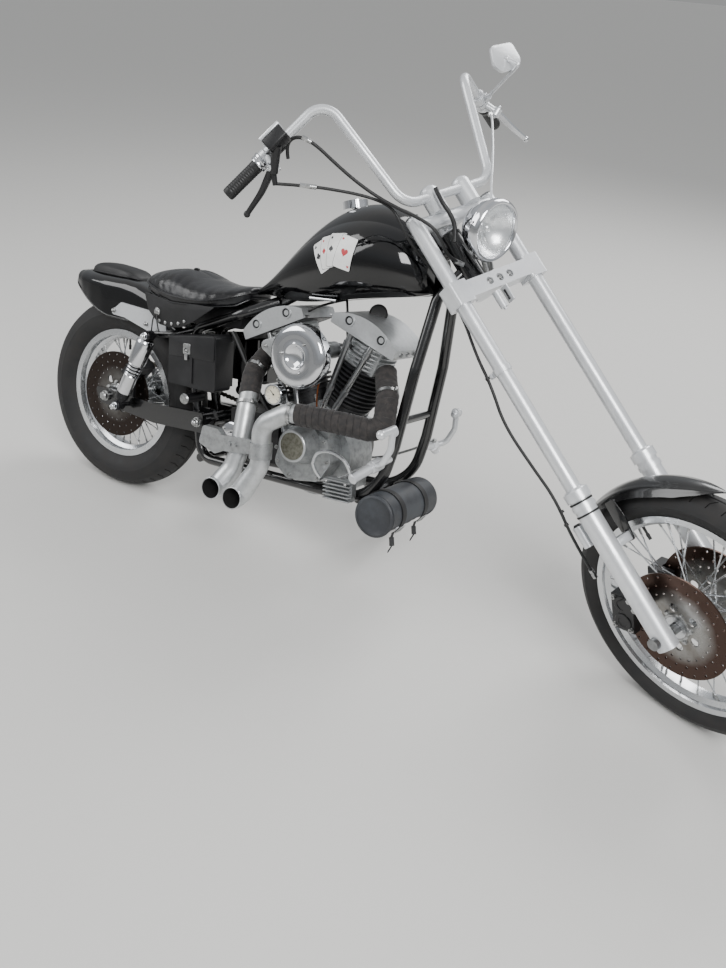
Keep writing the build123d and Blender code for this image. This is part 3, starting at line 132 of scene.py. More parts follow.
def finish(name, colour, roughness, metallic=0.0, coat=0.0, worn=None, grain=0.0, grain_mm=1.0, depth=0.1,
           cells=0.0, cell_mm=1.5, cell_depth=0.2, cloud_mm=60.0, worn_from=0.42, alpha=1.0, sheen=0.0,
           rings=None):
    """A surface: colour and gloss, a second colour in clouds, a fine grain and leather's cells."""
    material = bpy.data.materials.new(name)
    material.use_nodes = True
    material.node_tree.nodes.clear()
    links = material.node_tree.links
    place = add(material, "ShaderNodeTexCoord").outputs["Object"]
    cloud = add(material, "ShaderNodeTexNoise", {
        "Scale": 1 / (cloud_mm * MM), "Detail": 5.0, "Roughness": 0.62}, {"Vector": place}).outputs["Fac"]
    shader = add(material, "ShaderNodeBsdfPrincipled", {
        "Metallic": metallic, "Coat Weight": coat, "Coat Roughness": 0.03, "Alpha": alpha,
        "Sheen Weight": sheen, "Sheen Roughness": 0.4})
    tint = add(material, "ShaderNodeValToRGB", links={"Fac": cloud})
    tint.color_ramp.elements[0].position = worn_from
    tint.color_ramp.elements[1].position = worn_from + WORN_BLEND
    tint.color_ramp.elements[0].color = linear(colour)
    tint.color_ramp.elements[1].color = linear(worn or colour)
    base = tint.outputs["Color"]
    if rings:
        base = ringed(material, place, cloud, base, rings)
    gloss = add(material, "ShaderNodeMapRange", {
        "From Min": 0.3, "From Max": 0.7, "To Min": roughness * GLOSS_SWING[0],
        "To Max": min(1.0, roughness * GLOSS_SWING[1])}, {"Value": cloud})
    links.new(base, shader.inputs["Base Color"])
    links.new(gloss.outputs["Result"], shader.inputs["Roughness"])
    normal = None
    for strength, kind, size, deep, output in (
            (cells, "ShaderNodeTexVoronoi", cell_mm, cell_depth, "Distance"),
            (grain, "ShaderNodeTexNoise", grain_mm, depth, "Fac")):
        if not strength:
            continue
        speck = add(material, kind, {"Scale": 1 / (size * MM)}, {"Vector": place}).outputs[output]
        bump = add(material, "ShaderNodeBump", {"Strength": strength, "Distance": deep * MM},
                   {"Height": speck})
        if normal:
            links.new(normal, bump.inputs["Normal"])
        normal = bump.outputs["Normal"]
    if normal:
        links.new(normal, shader.inputs["Normal"])
    out = add(material, "ShaderNodeOutputMaterial")
    links.new(shader.outputs["BSDF"], out.inputs["Surface"])
    return material


def ringed(material, place, cloud, base, rings):
    """A heat tint on a disc: another colour beyond a radius in millimetres from its axle."""
    centre, from_mm, to_mm, colour = rings
    away = add(material, "ShaderNodeVectorMath", {"operation": "DISTANCE", 1: centre},
               {0: place}).outputs["Value"]
    ragged = add(material, "ShaderNodeMath", {"operation": "MULTIPLY_ADD", 1: 14 * MM, 2: -7 * MM},
                 {0: cloud})
    summed = add(material, "ShaderNodeMath", {"operation": "ADD"}, {0: away, 1: ragged.outputs["Value"]})
    share = add(material, "ShaderNodeMapRange", {"From Min": from_mm * MM, "From Max": to_mm * MM},
                {"Value": summed.outputs["Value"]})
    return add(material, "ShaderNodeMixRGB", {"Color2": linear(colour)},
               {"Fac": share.outputs["Result"], "Color1": base}).outputs["Color"]


FINISHES = {
    # Stoved black enamel, sprayed and polished: a deep mirror with a trace of orange peel
    "stoved_enamel": dict(colour="#030304", roughness=0.08, coat=0.3, worn="#050507", grain=0.03,
                          grain_mm=3.0),
    # The same enamel on the frame tubes, duller and dusty from the road
    "frame_enamel": dict(colour="#0A0A0B", roughness=0.22, coat=0.6, worn="#161617", grain=0.08,
                         grain_mm=2.0, worn_from=0.5),
    # Black satin powder coat on brackets and boxes
    "powder_coat": dict(colour="#101012", roughness=0.4, worn="#1D1D1F", grain=0.25, grain_mm=1.2,
                        worn_from=0.5),
    # Silver lacquer over steel tube and alloy: fine metal flake under a satin coat
    "silver_lacquer": dict(colour="#D9DBDD", roughness=0.34, metallic=0.55, coat=0.3, worn="#CBCDD0",
                           grain=0.06),
    # Bright nickel and chrome plate
    "chrome_plate": dict(colour="#DCDDE0", roughness=0.06, metallic=1.0, worn="#CDCFD2"),
    # Rolled aluminium rims, polished and then dulled by the road
    "rolled_aluminium": dict(colour="#D2D4D6", roughness=0.24, metallic=0.95, worn="#CBCDCF", grain=0.1,
                             grain_mm=1.0, cloud_mm=90),
    # Sand-cast aluminium, fettled: dull, slightly grey and pitted
    "cast_aluminium": dict(colour="#A9ABAC", roughness=0.42, metallic=0.85, worn="#8E9090", grain=0.35,
                           grain_mm=1.5, depth=0.25, cloud_mm=16),
    # The rocker boxes' linished faces, brighter than the castings below
    "linished_aluminium": dict(colour="#C4C6C7", roughness=0.36, metallic=0.8, worn="#B6B8B9", grain=0.2,
                               grain_mm=1.2, cloud_mm=18),
    # Black painted iron cylinders with paint thin on the fins
    "painted_iron": dict(colour="#141415", roughness=0.5, worn="#28282B", grain=0.3, grain_mm=1.5,
                         depth=0.2),
    # Turned and ground steel; on the chrome pushrod tubes its duller grey is a painted dark reflection
    "ground_steel": dict(colour="#9B9C9C", roughness=0.28, metallic=1.0, worn="#77787A", grain=0.1,
                         grain_mm=0.8),
    # Zinc plated fasteners
    "zinc_plate": dict(colour="#B9BABA", roughness=0.3, metallic=1.0, worn="#8C8C8A", cloud_mm=9),
    # Black oxide fasteners
    "black_oxide": dict(colour="#1A1A1C", roughness=0.4, metallic=0.7, worn="#39393B", cloud_mm=9),
    # Brake disc: ground steel, browned towards its rim
    "front_disc_steel": dict(colour="#9A9996", roughness=0.3, metallic=0.9, worn="#7F7A74", grain=0.1,
                             rings=(FORK.translation, 104, 136, "#4A3A33")),
    "rear_disc_steel": dict(colour="#6D6C6A", roughness=0.36, metallic=0.9, worn="#55514D", grain=0.1,
                            rings=(REAR_WHEEL.translation, 88, 118, "#322A26")),
    # Exhaust pipe under aluminium paint, satin and scuffed
    "aluminised_pipe": dict(colour="#C6C8C9", roughness=0.36, metallic=0.75, worn="#AEB0B0", grain=0.12,
                            grain_mm=2.0, cloud_mm=35),
    # Soot inside the tails
    "soot": dict(colour="#060505", roughness=0.95),
    # Woven glass tape wound on the hot pipes, browned by the heat; its threads are drawn 1.6 mm wide
    "woven_glass_tape": dict(colour="#1F1D1D", roughness=0.85, worn="#3B3735", grain=0.8, grain_mm=1.6,
                             depth=0.8, cloud_mm=14, sheen=0.15),
    # Tyre rubber with road dust
    "tyre_rubber": dict(colour="#121213", roughness=0.66, worn="#262423", grain=0.4, grain_mm=1.2,
                        depth=0.2, cloud_mm=45),
    # Moulded rubber of grips and hoses
    "moulded_rubber": dict(colour="#111112", roughness=0.5, worn="#1B1B1B", grain=0.2, grain_mm=0.8),
    # Waxed black cowhide, its grain drawn at 2 mm
    "cowhide": dict(colour="#0B0B0D", roughness=0.3, worn="#15161A", grain=0.2, grain_mm=6.0, depth=0.5,
                    cells=0.35, cell_mm=2.0, cell_depth=0.25, sheen=0.05),
    # Matt harness leather of the pad and the skirt
    "harness_leather": dict(colour="#101011", roughness=0.55, worn="#1C1C1E", grain=0.3, grain_mm=5.0,
                            depth=0.5, cells=0.4, cell_mm=2.4, cell_depth=0.3),
    # Weathered saddle leather of the tool roll, greyed by sun and rain
    "weathered_leather": dict(colour="#2A2C30", roughness=0.5, worn="#3D4146", grain=0.4, grain_mm=9.0,
                              depth=1.0, cells=0.35, cell_mm=3.0, cell_depth=0.4, cloud_mm=70),
    # Clear lamp glass
    "lamp_glass": dict(colour="#E8ECEE", roughness=0.03, alpha=0.22, coat=1.0),
    # Vacuum silvered reflector
    "silvered_reflector": dict(colour="#F2F3F4", roughness=0.26, metallic=1.0, worn="#D5D7D9"),
    # Silvered mirror glass
    "mirror_glass": dict(colour="#C9CED2", roughness=0.02, metallic=1.0),
    # Red lens, moulded acrylic
    "red_lens": dict(colour="#8C0C0E", roughness=0.12, coat=0.8, worn="#5E0608"),
    # Roller-chain steel with grease
    "chain_steel": dict(colour="#6D6962", roughness=0.4, metallic=1.0, worn="#3A3733", cloud_mm=12),
    # Printed vinyl of the four cards
    "white_vinyl": dict(colour="#E9E9E7", roughness=0.3, worn="#DEDEDB", coat=0.3),
    "red_ink": dict(colour="#B41E2C", roughness=0.35),
    "black_ink": dict(colour="#1A1A1D", roughness=0.35),
    # The timer cover's face, dull and stained by oil
    "stained_zinc": dict(colour="#77766B", roughness=0.5, metallic=0.6, worn="#565449", grain=0.5,
                         grain_mm=2.5, depth=0.4, cloud_mm=10),
    # Printed dial behind glass
    "dial_card": dict(colour="#DDD8C6", roughness=0.5, coat=0.6, worn="#CFC8B2"),
    # Drawn copper of the breather pipe
    "drawn_copper": dict(colour="#B0683C", roughness=0.3, metallic=1.0, worn="#7C4A30", cloud_mm=20),
}
# the materials made so far, by their finish's name
MADE = {}


def material(name):
    if name not in MADE:
        MADE[name] = finish(name, **FINISHES[name])
    return MADE[name]


# Building

RIGHT, LEFT = (0, -1, 0), (0, 1, 0)


def move(x, y, z):
    """A matrix that only moves."""
    return Matrix.Translation((x, y, z))


def rotate(degrees, axis):
    """A matrix that only turns about X, Y or Z."""
    return Matrix.Rotation(radians(degrees), 4, axis)


def around(at, way):
    """A matrix whose Z points along a way from a point."""
    return Matrix.Translation(Vector(at)) @ Vector(way).to_track_quat("Z", "Y").to_matrix().to_4x4()


def across(y):
    """A matrix that stands a drawing of x and z on the plane at y, its thickness going left."""
    return Matrix(((1, 0, 0, 0), (0, 0, 1, y), (0, 1, 0, 0), (0, 0, 0, 1)))


def in_bank(side):
    """One cylinder's own frame in the chassis: Z up the bore, X ahead; side 1 is the front one."""
    return Matrix.Translation(ENGINE) @ Matrix.Rotation(side * BANK, 4, "Y")


def merge(bm, part, place=Matrix()):
    """Add a part to a piece, put in its place, and free it."""
    part.transform(place)
    mesh = bpy.data.meshes.new("part")
    part.to_mesh(mesh)
    part.free()
    bm.from_mesh(mesh)
    bpy.data.meshes.remove(mesh)


def piece(name, body, surface, bm, replaces=(), sharp=32, place=None):
    """A finished piece: its mesh closed up, put in place, turned outward, smoothed and on its body."""
    bmesh.ops.remove_doubles(bm, verts=bm.verts, dist=WELD)
    bm.transform(PLACES[body] if place is None else place)
    bmesh.ops.recalc_face_normals(bm, faces=bm.faces)
    mesh = bpy.data.meshes.new(name)
    bm.to_mesh(mesh)
    bm.free()
    mesh.shade_smooth()
    mesh.set_sharp_from_angle(angle=radians(sharp))
    return ridden(bpy.data.objects.new(name, mesh), body, surface, replaces)


def ridden(made, body, surface, replaces=()):
    """Link an object, give it its finish and let it ride on its body."""
    made.data.materials.append(material(surface))
    bpy.context.scene.collection.objects.link(made)
    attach(made, body)
    if replaces:
        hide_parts(*replaces)
    return made


def lathe(bm, profile, place=Matrix(), steps=40, closed=False):
    """Spin a profile of (height, radius) points about the Z axis of a place."""
    part = bmesh.new()
    points = [part.verts.new((radius, 0, height)) for height, radius in profile]
    lines = [part.edges.new(two) for two in zip(points, points[1:])]
    if closed:
        lines.append(part.edges.new((points[-1], points[0])))
    bmesh.ops.spin(part, geom=points + lines, cent=(0, 0, 0), axis=(0, 0, 1), dvec=(0, 0, 0), angle=tau,
                   steps=steps, use_merge=True, use_duplicate=False)
    merge(bm, part, place)


def bar(bm, start, end, radius, tip=None, sides=16):
    """A round bar, or a taper, between two points."""
    way = Vector(end) - Vector(start)
    place = around(start, way) @ move(0, 0, way.length / 2)
    bmesh.ops.create_cone(bm, cap_ends=True, segments=sides, radius1=radius,
                          radius2=radius if tip is None else tip, depth=way.length, matrix=place)


def ball(bm, at, radius, sides=12, scale=(1, 1, 1)):
    place = Matrix.Translation(Vector(at)) @ Matrix.Diagonal((*scale, 1))
    bmesh.ops.create_uvsphere(bm, u_segments=sides, v_segments=sides // 2 + 1, radius=radius,
                              matrix=place)


def plate(bm, corners, place, thick, round_by=0.0, rim=0.0, steps=3):
    """An outline raised by its thickness, its corners and its rims rounded."""
    part = bmesh.new()
    part.faces.new([part.verts.new((x, y, 0)) for x, y in corners])
    if round_by:
        bmesh.ops.bevel(part, geom=part.verts[:], offset=round_by, segments=steps + 1, profile=0.5,
                        affect="VERTICES", material=-1)
    raised = bmesh.ops.extrude_face_region(part, geom=part.faces[:])
    tops = [v for v in raised["geom"] if isinstance(v, bmesh.types.BMVert)]
    bmesh.ops.translate(part, vec=(0, 0, thick), verts=tops)
    if rim:
        rims = [e for e in part.edges if abs(e.verts[0].co.z - e.verts[1].co.z) < 0.001]
        bmesh.ops.bevel(part, geom=rims, offset=rim, segments=steps, profile=0.5, affect="EDGES",
                        material=-1)
    merge(bm, part, place)


def block(bm, size, place, rim=1.5, steps=2):
    """A box about a place's origin with rounded edges."""
    part = bmesh.new()
    bmesh.ops.create_cube(part, size=1, matrix=Matrix.Diagonal((*size, 1)))
    bmesh.ops.bevel(part, geom=part.edges[:], offset=rim, segments=steps, profile=0.5, affect="EDGES",
                    material=-1)
    merge(bm, part, place)


def smooth_curve(name, points, radius, resolution, sides, closed=False, radii=None):
    """A curve object: a smooth tube with the points as its control points."""
    line = bpy.data.curves.new(name, "CURVE")
    line.dimensions = "3D"
    spline = line.splines.new("NURBS")
    spline.points.add(len(points) - 1)
    for i, (point, at) in enumerate(zip(spline.points, points)):
        point.co = (*at, 1)
        point.radius = radii[i] / radius if radii else 1
    spline.order_u = 3
    spline.use_endpoint_u = not closed
    spline.resolution_u = resolution
    spline.use_cyclic_u = closed
    line.bevel_depth = radius
    line.bevel_resolution = max(1, sides // 4 - 1)
    line.use_fill_caps = not closed
    return bpy.data.objects.new(name, line)


def wire(bm, points, radius, closed=False, radii=None, sides=12):
    """A round bar bent smoothly along points."""
    holder = smooth_curve("line", points, radius, 8, sides, closed, radii)
    mesh = bpy.data.meshes.new_from_object(holder)
    part = bmesh.new()
    part.from_mesh(mesh)
    line = holder.data
    bpy.data.objects.remove(holder)
    bpy.data.curves.remove(line)
    bpy.data.meshes.remove(mesh)
    merge(bm, part)


def rounded(points, bends, step=8.0):
    """The points of a line whose corners are arcs of the given radii."""
    corners = [Vector(p) for p in points]
    path = [corners[0]]
    for before, at, after, bend in zip(corners, corners[1:], corners[2:], bends):
        back, ahead = (before - at).normalized(), (after - at).normalized()
        turn = pi - back.angle(ahead)
        middle = at + (back + ahead).normalized() * bend / cos(turn / 2)
        start = at + back * bend * abs(sin(turn / 2) / cos(turn / 2)) - middle
        axis = back.cross(ahead)
        count = max(2, round(bend * turn / step))
        for i in range(count + 1):
            path.append(middle + Matrix.Rotation(-turn * i / count, 3, axis) @ start)
    return path + [corners[-1]]


def bend(bm, path):
    """Bend a mesh made along Z onto a path of points."""
    lengths = [0.0]
    for a, b in zip(path, path[1:]):
        lengths.append(lengths[-1] + (b - a).length)
    way = path[1] - path[0]
    turn = way.to_track_quat("Z", "Y")
    turns = []
    for before, after in zip([path[0]] + path[:-1], path[1:] + [path[-1]]):
        turn = way.rotation_difference(after - before) @ turn
        way = after - before
        turns.append(turn.copy())
    for vert in bm.verts:
        along = min(max(vert.co.z, 0.0), lengths[-1] - 0.001)
        i = bisect_right(lengths, along) - 1
        share = (along - lengths[i]) / (lengths[i + 1] - lengths[i])
        turn = turns[i].slerp(turns[i + 1], share)
        vert.co = path[i].lerp(path[i + 1], share) + turn @ Vector((vert.co.x, vert.co.y, 0))


def bolt(bm, at, way, size, kind="hex"):
    """One fastener on its washer: a hex, socket or dome head; size is half its width."""
    place = around(at, way)
    part = bmesh.new()
    bar(part, (0, 0, -0.2), (0, 0, size * 0.2), size * 1.25, sides=12)
    if kind == "socket":
        bar(part, (0, 0, size * 0.2), (0, 0, size * 1.1), size * 0.95, sides=12)
        top = max(part.faces, key=lambda face: face.calc_center_median().z)
        bmesh.ops.inset_individual(part, faces=[top], thickness=size * 0.4, depth=0)
        bmesh.ops.inset_individual(part, faces=[top], thickness=size * 0.02, depth=-size * 0.6)
    else:
        bar(part, (0, 0, size * 0.2), (0, 0, size * 0.85), size * 1.08, sides=6)
        bar(part, (0, 0, size * 0.85), (0, 0, size * 1.1), size * 0.95, size * 0.7, sides=12)
    if kind == "dome":
        ball(part, (0, 0, size * 0.9), size * 0.82, 10, (1, 1, 1.1))
    merge(bm, part, place)


def bolt_ring(bm, centre, radius, turns, side, size, kind):
    """Fasteners on a circle in the side view, at turns in degrees, their heads to one side."""
    for turn in turns:
        out = Vector((cos(radians(turn)), 0, sin(radians(turn))))
        bolt(bm, Vector(centre) + out * radius, (0, side, 0), size, kind)


def limited(value):
    """The value, kept from 0 to 1."""
    return min(1.0, max(0.0, value))


def evenly(low, high, count):
    """Values from low to high in so many equal steps."""
    return [low + (high - low) * i / count for i in range(count + 1)]


def bent_sheet(rings, thick=3, capped=False):
    """A metal sheet through rings of points; its first ring is closed if capped."""
    bm = bmesh.new()
    rows = [[bm.verts.new(point) for point in ring] for ring in rings]
    for a, b in zip(rows, rows[1:]):
        for i in range(len(a) - 1):
            bm.faces.new((a[i], a[i + 1], b[i + 1], b[i]))
    if capped:
        bm.faces.new(rows[0])
    bmesh.ops.recalc_face_normals(bm, faces=bm.faces)
    bmesh.ops.solidify(bm, geom=bm.faces[:], thickness=thick)
    return bm


def eased(points, steps=6):
    """A smooth line through points of any dimension, sampled between each two."""
    points = [Vector(p) for p in points]
    ends = [points[0] * 2 - points[1]] + points + [points[-1] * 2 - points[-2]]
    line = []
    for a, b, c, d in zip(ends, ends[1:], ends[2:], ends[3:]):
        for i in range(steps):
            t = i / steps
            line.append(((b * 2) + (c - a) * t + (a * 2 - b * 5 + c * 4 - d) * t * t
                         + (b * 3 - a - c * 3 + d) * t * t * t) / 2)
    return line + [points[-1]]


def between(table, x):
    """A height from a table of (x, height) points in rising x, with straight runs."""
    if x <= table[0][0]:
        return table[0][1]
    for (x0, y0), (x1, y1) in zip(table, table[1:]):
        if x <= x1:
            return y0 + (y1 - y0) * (x - x0) / (x1 - x0)
    return table[-1][1]


# Solids that keep their CAD shape

SOLIDS = {
    "stoved_enamel": "fuel_tank oil_tank primary_cover",
    "frame_enamel": "frame swingarm",
    "powder_coat": "battery_box gearbox rear_caliper front_calipers",
    "silver_lacquer": "fender_struts forward_controls fork_trees fork_tubes fork_sliders handlebar "
                      "side_stand",
    "chrome_plate": "filler_cap oil_gauge",
    "cast_aluminium": "crankcase gear_cover carburettor exhaust_clamp",
    "linished_aluminium": "cylinder_heads",
    "rolled_aluminium": "front_wire_wheel rear_wire_wheel",
    "painted_iron": "cylinders",
    # the pushrod tubes are chrome; this duller steel paints in the dark surroundings they reflect, a
    # painted reflection
    "ground_steel": "rear_axle front_axle rear_sprocket pushrod_tubes",
    "front_disc_steel": "front_discs",
    "rear_disc_steel": "rear_disc",
}


class CHOPPER_OT_solids(bpy.types.Operator):
    """Give every solid of the frame its finish"""
    bl_idname = "chopper.solids"
    bl_label = "Finish the solids"

    def execute(self, context):
        for name, nodes in SOLIDS.items():
            for node in nodes.split():
                mesh = frame["nodes"][node].data
                mesh.materials.clear()
                mesh.materials.append(material(name))
        return {"FINISHED"}


# Wheels

class ChopperTyres(bpy.types.PropertyGroup):
    groove: bpy.props.FloatProperty(name="Groove depth", description="Depth of the tread, mm",
                                    default=4.0, min=1)
    groove_width: bpy.props.FloatProperty(name="Groove width",
                                          description="Width of a slanted groove, mm", default=3.2)
    pitch: bpy.props.FloatProperty(name="Pitch", description="Length of one repeat of the tread, mm",
                                   default=42.0)


# radius, half width, crown radius, rim radius, bead's half width, and the slanted grooves of one side:
# from and to across the tread in mm from its middle, then along it as shares of a pitch
TYRES = {
    "front": dict(radius=343.4, half=45.0, crown=47.0, rim=277.0, bead=28.7, middle=2.2,
                  grooves=((7, 21, 0.08, 0.36), (21, 36, 0.36, 0.44))),
    "rear": dict(radius=325.3, half=65.0, crown=78.0, rim=219.0, bead=39.2, middle=2.6,
                 grooves=((9, 30, 0.06, 0.40), (30, 52, 0.40, 0.46))),
}


def tyre_section(size):
    """The outside of one half of a tyre as (y, radius) points from the crown to the bead."""
    turns = [radians(a) for a in (0, 12, 24, 36, 46)]
    points = [(size["crown"] * sin(a), size["radius"] - size["crown"] * (1 - cos(a))) for a in turns]
    side = points[-1][1] - size["rim"]
    points += [(size["half"], points[-1][1] - 0.35 * side),
               (size["half"] - 0.15 * (size["half"] - size["bead"]), points[-1][1] - 0.62 * side),
               (size["bead"] + 0.35 * (size["half"] - size["bead"]), size["rim"] + 0.12 * side),
               (size["bead"], size["rim"])]
    return eased(points, 5)


def tyre(name, size, look):
    """A tyre from one pitch of its tread, cut with grooves, repeated and wrapped onto its section."""
    section = tyre_section(size)
    lengths = [0.0]
    for a, b in zip(section, section[1:]):
        lengths.append(lengths[-1] + (b - a).length)
    reach = lengths[-1]
    count = round(tau * size["radius"] / look.pitch)
    rows = 34
    cell = bmesh.new()
    bmesh.ops.create_grid(cell, x_segments=3, y_segments=2 * rows, size=0.5, matrix=move(0.5, 0, 0))
    bmesh.ops.scale(cell, vec=(look.pitch, 2 * reach, 1), verts=cell.verts[:])
    for side in (-1, 1):
        for low, high, u_low, u_high in size["grooves"]:
            shift = 0.45 * look.pitch if side > 0 else 0.0
            start = Vector((u_low * look.pitch + shift, side * low, 0))
            stop = Vector((u_high * look.pitch + shift, side * high, 0))
            normal = (stop - start).normalized().cross(Vector((0, 0, 1)))
            half = look.groove_width / 2

            def inside(face, grown):
                at = face.calc_center_median()
                return low < side * at.y < high and abs((at - start).dot(normal)) < grown
            for edge in (-half, half):
                near = [f for f in cell.faces if inside(f, look.pitch / 2)]
                geom = near + list({e for f in near for e in f.edges})
                geom += list({v for f in near for v in f.verts})
                bmesh.ops.bisect_plane(cell, geom=geom, dist=0.001, plane_co=start + normal * edge,
                                       plane_no=normal)
            bmesh.ops.inset_region(cell, faces=[f for f in cell.faces if inside(f, half)], thickness=0.3,
                                   depth=-look.groove, use_boundary=True, use_even_offset=True)
    whole = bmesh.new()
    for i in range(count):
        merge(whole, cell.copy(), move(i * look.pitch, 0, 0))
    cell.free()
    for vert in whole.verts:
        away = min(abs(vert.co.y), reach)
        i = min(bisect_right(lengths, away) - 1, len(section) - 2)
        share = (away - lengths[i]) / (lengths[i + 1] - lengths[i])
        at = section[i].lerp(section[i + 1], share)
        way = (section[i + 1] - section[i]).normalized()
        lift = vert.co.z
        if away < size["middle"]:
            lift -= look.groove
        if abs(away - 0.62 * reach) < 3:
            lift += 0.9
        y, radius = at.x - way.y * lift, at.y + way.x * lift
        turn = tau * vert.co.x / (count * look.pitch)
        vert.co = (radius * cos(turn), y if vert.co.y > 0 else -y, radius * sin(turn))
    bmesh.ops.remove_doubles(whole, verts=whole.verts, dist=0.05)
    rims = [e for e in whole.edges
            if e.is_boundary and max(abs(v.co.y) for v in e.verts) > size["bead"] - 1]
    bmesh.ops.bridge_loops(whole, edges=rims)
    return piece(f"{name}_tyre_with_tread", f"{name}_wheel", "tyre_rubber", whole, [f"{name}_tyre"],
                 sharp=28)


class CHOPPER_OT_tyres(bpy.types.Operator):
    """Make both tyres with their grooved treads"""
    bl_idname = "chopper.tyres"
    bl_label = "Tyres"

    def execute(self, context):
        for name, size in TYRES.items():
            tyre(name, size, context.scene.chopper_tyres)
        return {"FINISHED"}


# spokes on one side of a hub, how far a spoke leans round the wheel, and the depth of the rim's well
SPOKES = 20
SPOKE_SWEEP = radians(52)
RIM_WELL = 13.0
FLANGE_RADIUS = 40.0
# each wheel's bead radius, flange y and disc planes
WHEELS = {"front_wheel": (265.0, 34.0, (-76.0, 76.0)), "rear_wheel": (203.0, 32.0, (-62.0,))}
DISC_HALF = 2.5


class CHOPPER_OT_wheel_parts(bpy.types.Operator):
    """Make spoke nipples, valves, hub bolts and disc bolts"""
    bl_idname = "chopper.wheel_parts"
    bl_label = "Wheel parts"

    def execute(self, context):
        for body, (bead, flange, disc_ys) in WHEELS.items():
            well = bead - RIM_WELL
            bm = bmesh.new()
            for side in (-1, 1):
                for i in range(SPOKES):
                    lead = 1 if i % 2 else -1
                    at_hub = tau * i / SPOKES + (radians(9) if side > 0 else 0)
                    at_rim = at_hub + lead * SPOKE_SWEEP
                    hub = Vector((FLANGE_RADIUS * cos(at_hub), side * (flange + lead * 2),
                                  FLANGE_RADIUS * sin(at_hub)))
                    end = Vector((well * cos(at_rim), side * 5, well * sin(at_rim)))
                    way = (end - hub).normalized()
                    bar(bm, end - way * 20, end - way * 4, 3.0, 3.6, 8)
                    ball(bm, hub + Vector((0, side * lead * 3, 0)), 4.2, 8)
            piece(f"{body}_nipples", body, "zinc_plate", bm)
            bm = bmesh.new()
            bar(bm, (0, 0, well - 4), (0, 0, well - 30), 4.0, 3.4, 10)
            bar(bm, (0, 0, well - 26), (0, 0, well - 42), 5.0, 4.2, 10)
            piece(f"{body}_valve", body, "moulded_rubber", bm)
            bm = bmesh.new()
            for y in disc_ys:
                out = 1 if y > 0 else -1
                face = y + out * DISC_HALF
                bolt_ring(bm, (0, face, 0), 41, range(30, 360, 60), out, 6, "hex")
                lathe(bm, [(0, 38), (2.5, 38), (4, 36), (4, 31)], around((0, face, 0), (0, out, 0)), 40)
            if body == "rear_wheel":
                bolt_ring(bm, (0, 79.5, 0), 42, range(36, 360, 72), 1, 6.5, "hex")
            piece(f"{body}_disc_bolts", body, "zinc_plate", bm)
        return {"FINISHED"}


# Chain

class ChopperChain(bpy.types.PropertyGroup):
    roller: bpy.props.FloatProperty(name="Roller", description="Radius of a roller, mm", default=5.1)
    links: bpy.props.IntProperty(name="Links", description="Number of links round both sprockets",
                                 default=96, min=40)


# the chain's plane, and the middle and radius of its line on both sprockets
CHAIN_Y = 76.0
CHAIN_FRONT = (Vector((-290, 20)), 38.0)
CHAIN_REAR = (Vector((-850, 63)), 102.0)
# how far a link's outer and inner plates lie from the middle
PLATE_OUT = (3.4, 5.2)


def chain_point(share):
    """A point of the chain's line and its way, from a share of the whole loop."""
    (front, small), (rear, large) = CHAIN_FRONT, CHAIN_REAR
    line = rear - front
    lean = asin((large - small) / line.length)
    base = atan2(line.y, line.x)
    top, low = base - pi / 2 - lean, base + pi / 2 + lean
    run = line.length * cos(lean)
    spans = [run, large * (pi + 2 * lean), run, small * (pi - 2 * lean)]
    at = share * sum(spans)

    def on(centre, radius, turn):
        return centre + Vector((cos(turn), sin(turn))) * radius
    corners = [on(front, small, top), on(rear, large, top), on(rear, large, low), on(front, small, low)]
    if at < spans[0]:
        return corners[0].lerp(corners[1], at / spans[0])
    at -= spans[0]
    if at < spans[1]:
        return on(rear, large, top + at / large)
    at -= spans[1]
    if at < spans[2]:
        return corners[2].lerp(corners[3], at / spans[2])
    at -= spans[2]
    return on(front, small, low + at / small)


class CHOPPER_OT_chain(bpy.types.Operator):
    """Make the roller chain, link by link"""
    bl_idname = "chopper.chain"
    bl_label = "Chain"

    def execute(self, context):
        look = context.scene.chopper_chain
        count = look.links
        bm = bmesh.new()
        for i in range(count):
            a, b = chain_point(i / count), chain_point((i + 1) % count / count)
            way = b - a
            pitch = way.length
            turn = move(a.x, CHAIN_Y, a.y) @ Matrix.Rotation(-atan2(way.y, way.x), 4, "Y")
            wide = PLATE_OUT[i % 2]
            outline = [(-6, -3), (-3, -6.2), (3, -6.0), (pitch / 2, -3.8), (pitch - 3, -6.0),
                       (pitch + 3, -6.2), (pitch + 6, -3), (pitch + 6, 3), (pitch + 3, 6.2),
                       (pitch - 3, 6.0), (pitch / 2, 3.8), (3, 6.0), (-3, 6.2), (-6, 3)]
            for side in (-1, 1):
                plate(bm, outline, turn @ across(side * wide - 0.8), 1.6)
            bar(bm, (a.x, CHAIN_Y - 3, a.y), (a.x, CHAIN_Y + 3, a.y), look.roller, sides=10)
            bar(bm, (a.x, CHAIN_Y - 6.8, a.y), (a.x, CHAIN_Y + 6.8, a.y), 2.4, sides=8)
        piece("roller_chain", "chassis", "chain_steel", bm, ["drive_chain"])
        return {"FINISHED"}


# Shocks

SHOCK_LOW = Vector((-756, 148, 48))
SHOCK_HIGH = Vector((-626, 148, 290))
# the bare stretch of spring between its foot and its cover, measured up the shock, and the coil's radius
SPRING_SPAN = (126, 172)
COIL_RADIUS = 20.5
# sides of one turn of a spring
TURN_STEPS = 24


class ChopperShocks(bpy.types.PropertyGroup):
    wire: bpy.props.FloatProperty(name="Spring wire", description="Radius of the spring's wire, mm",
                                  default=3.7)
    turns: bpy.props.IntProperty(name="Turns", description="Turns of the spring that show", default=4)


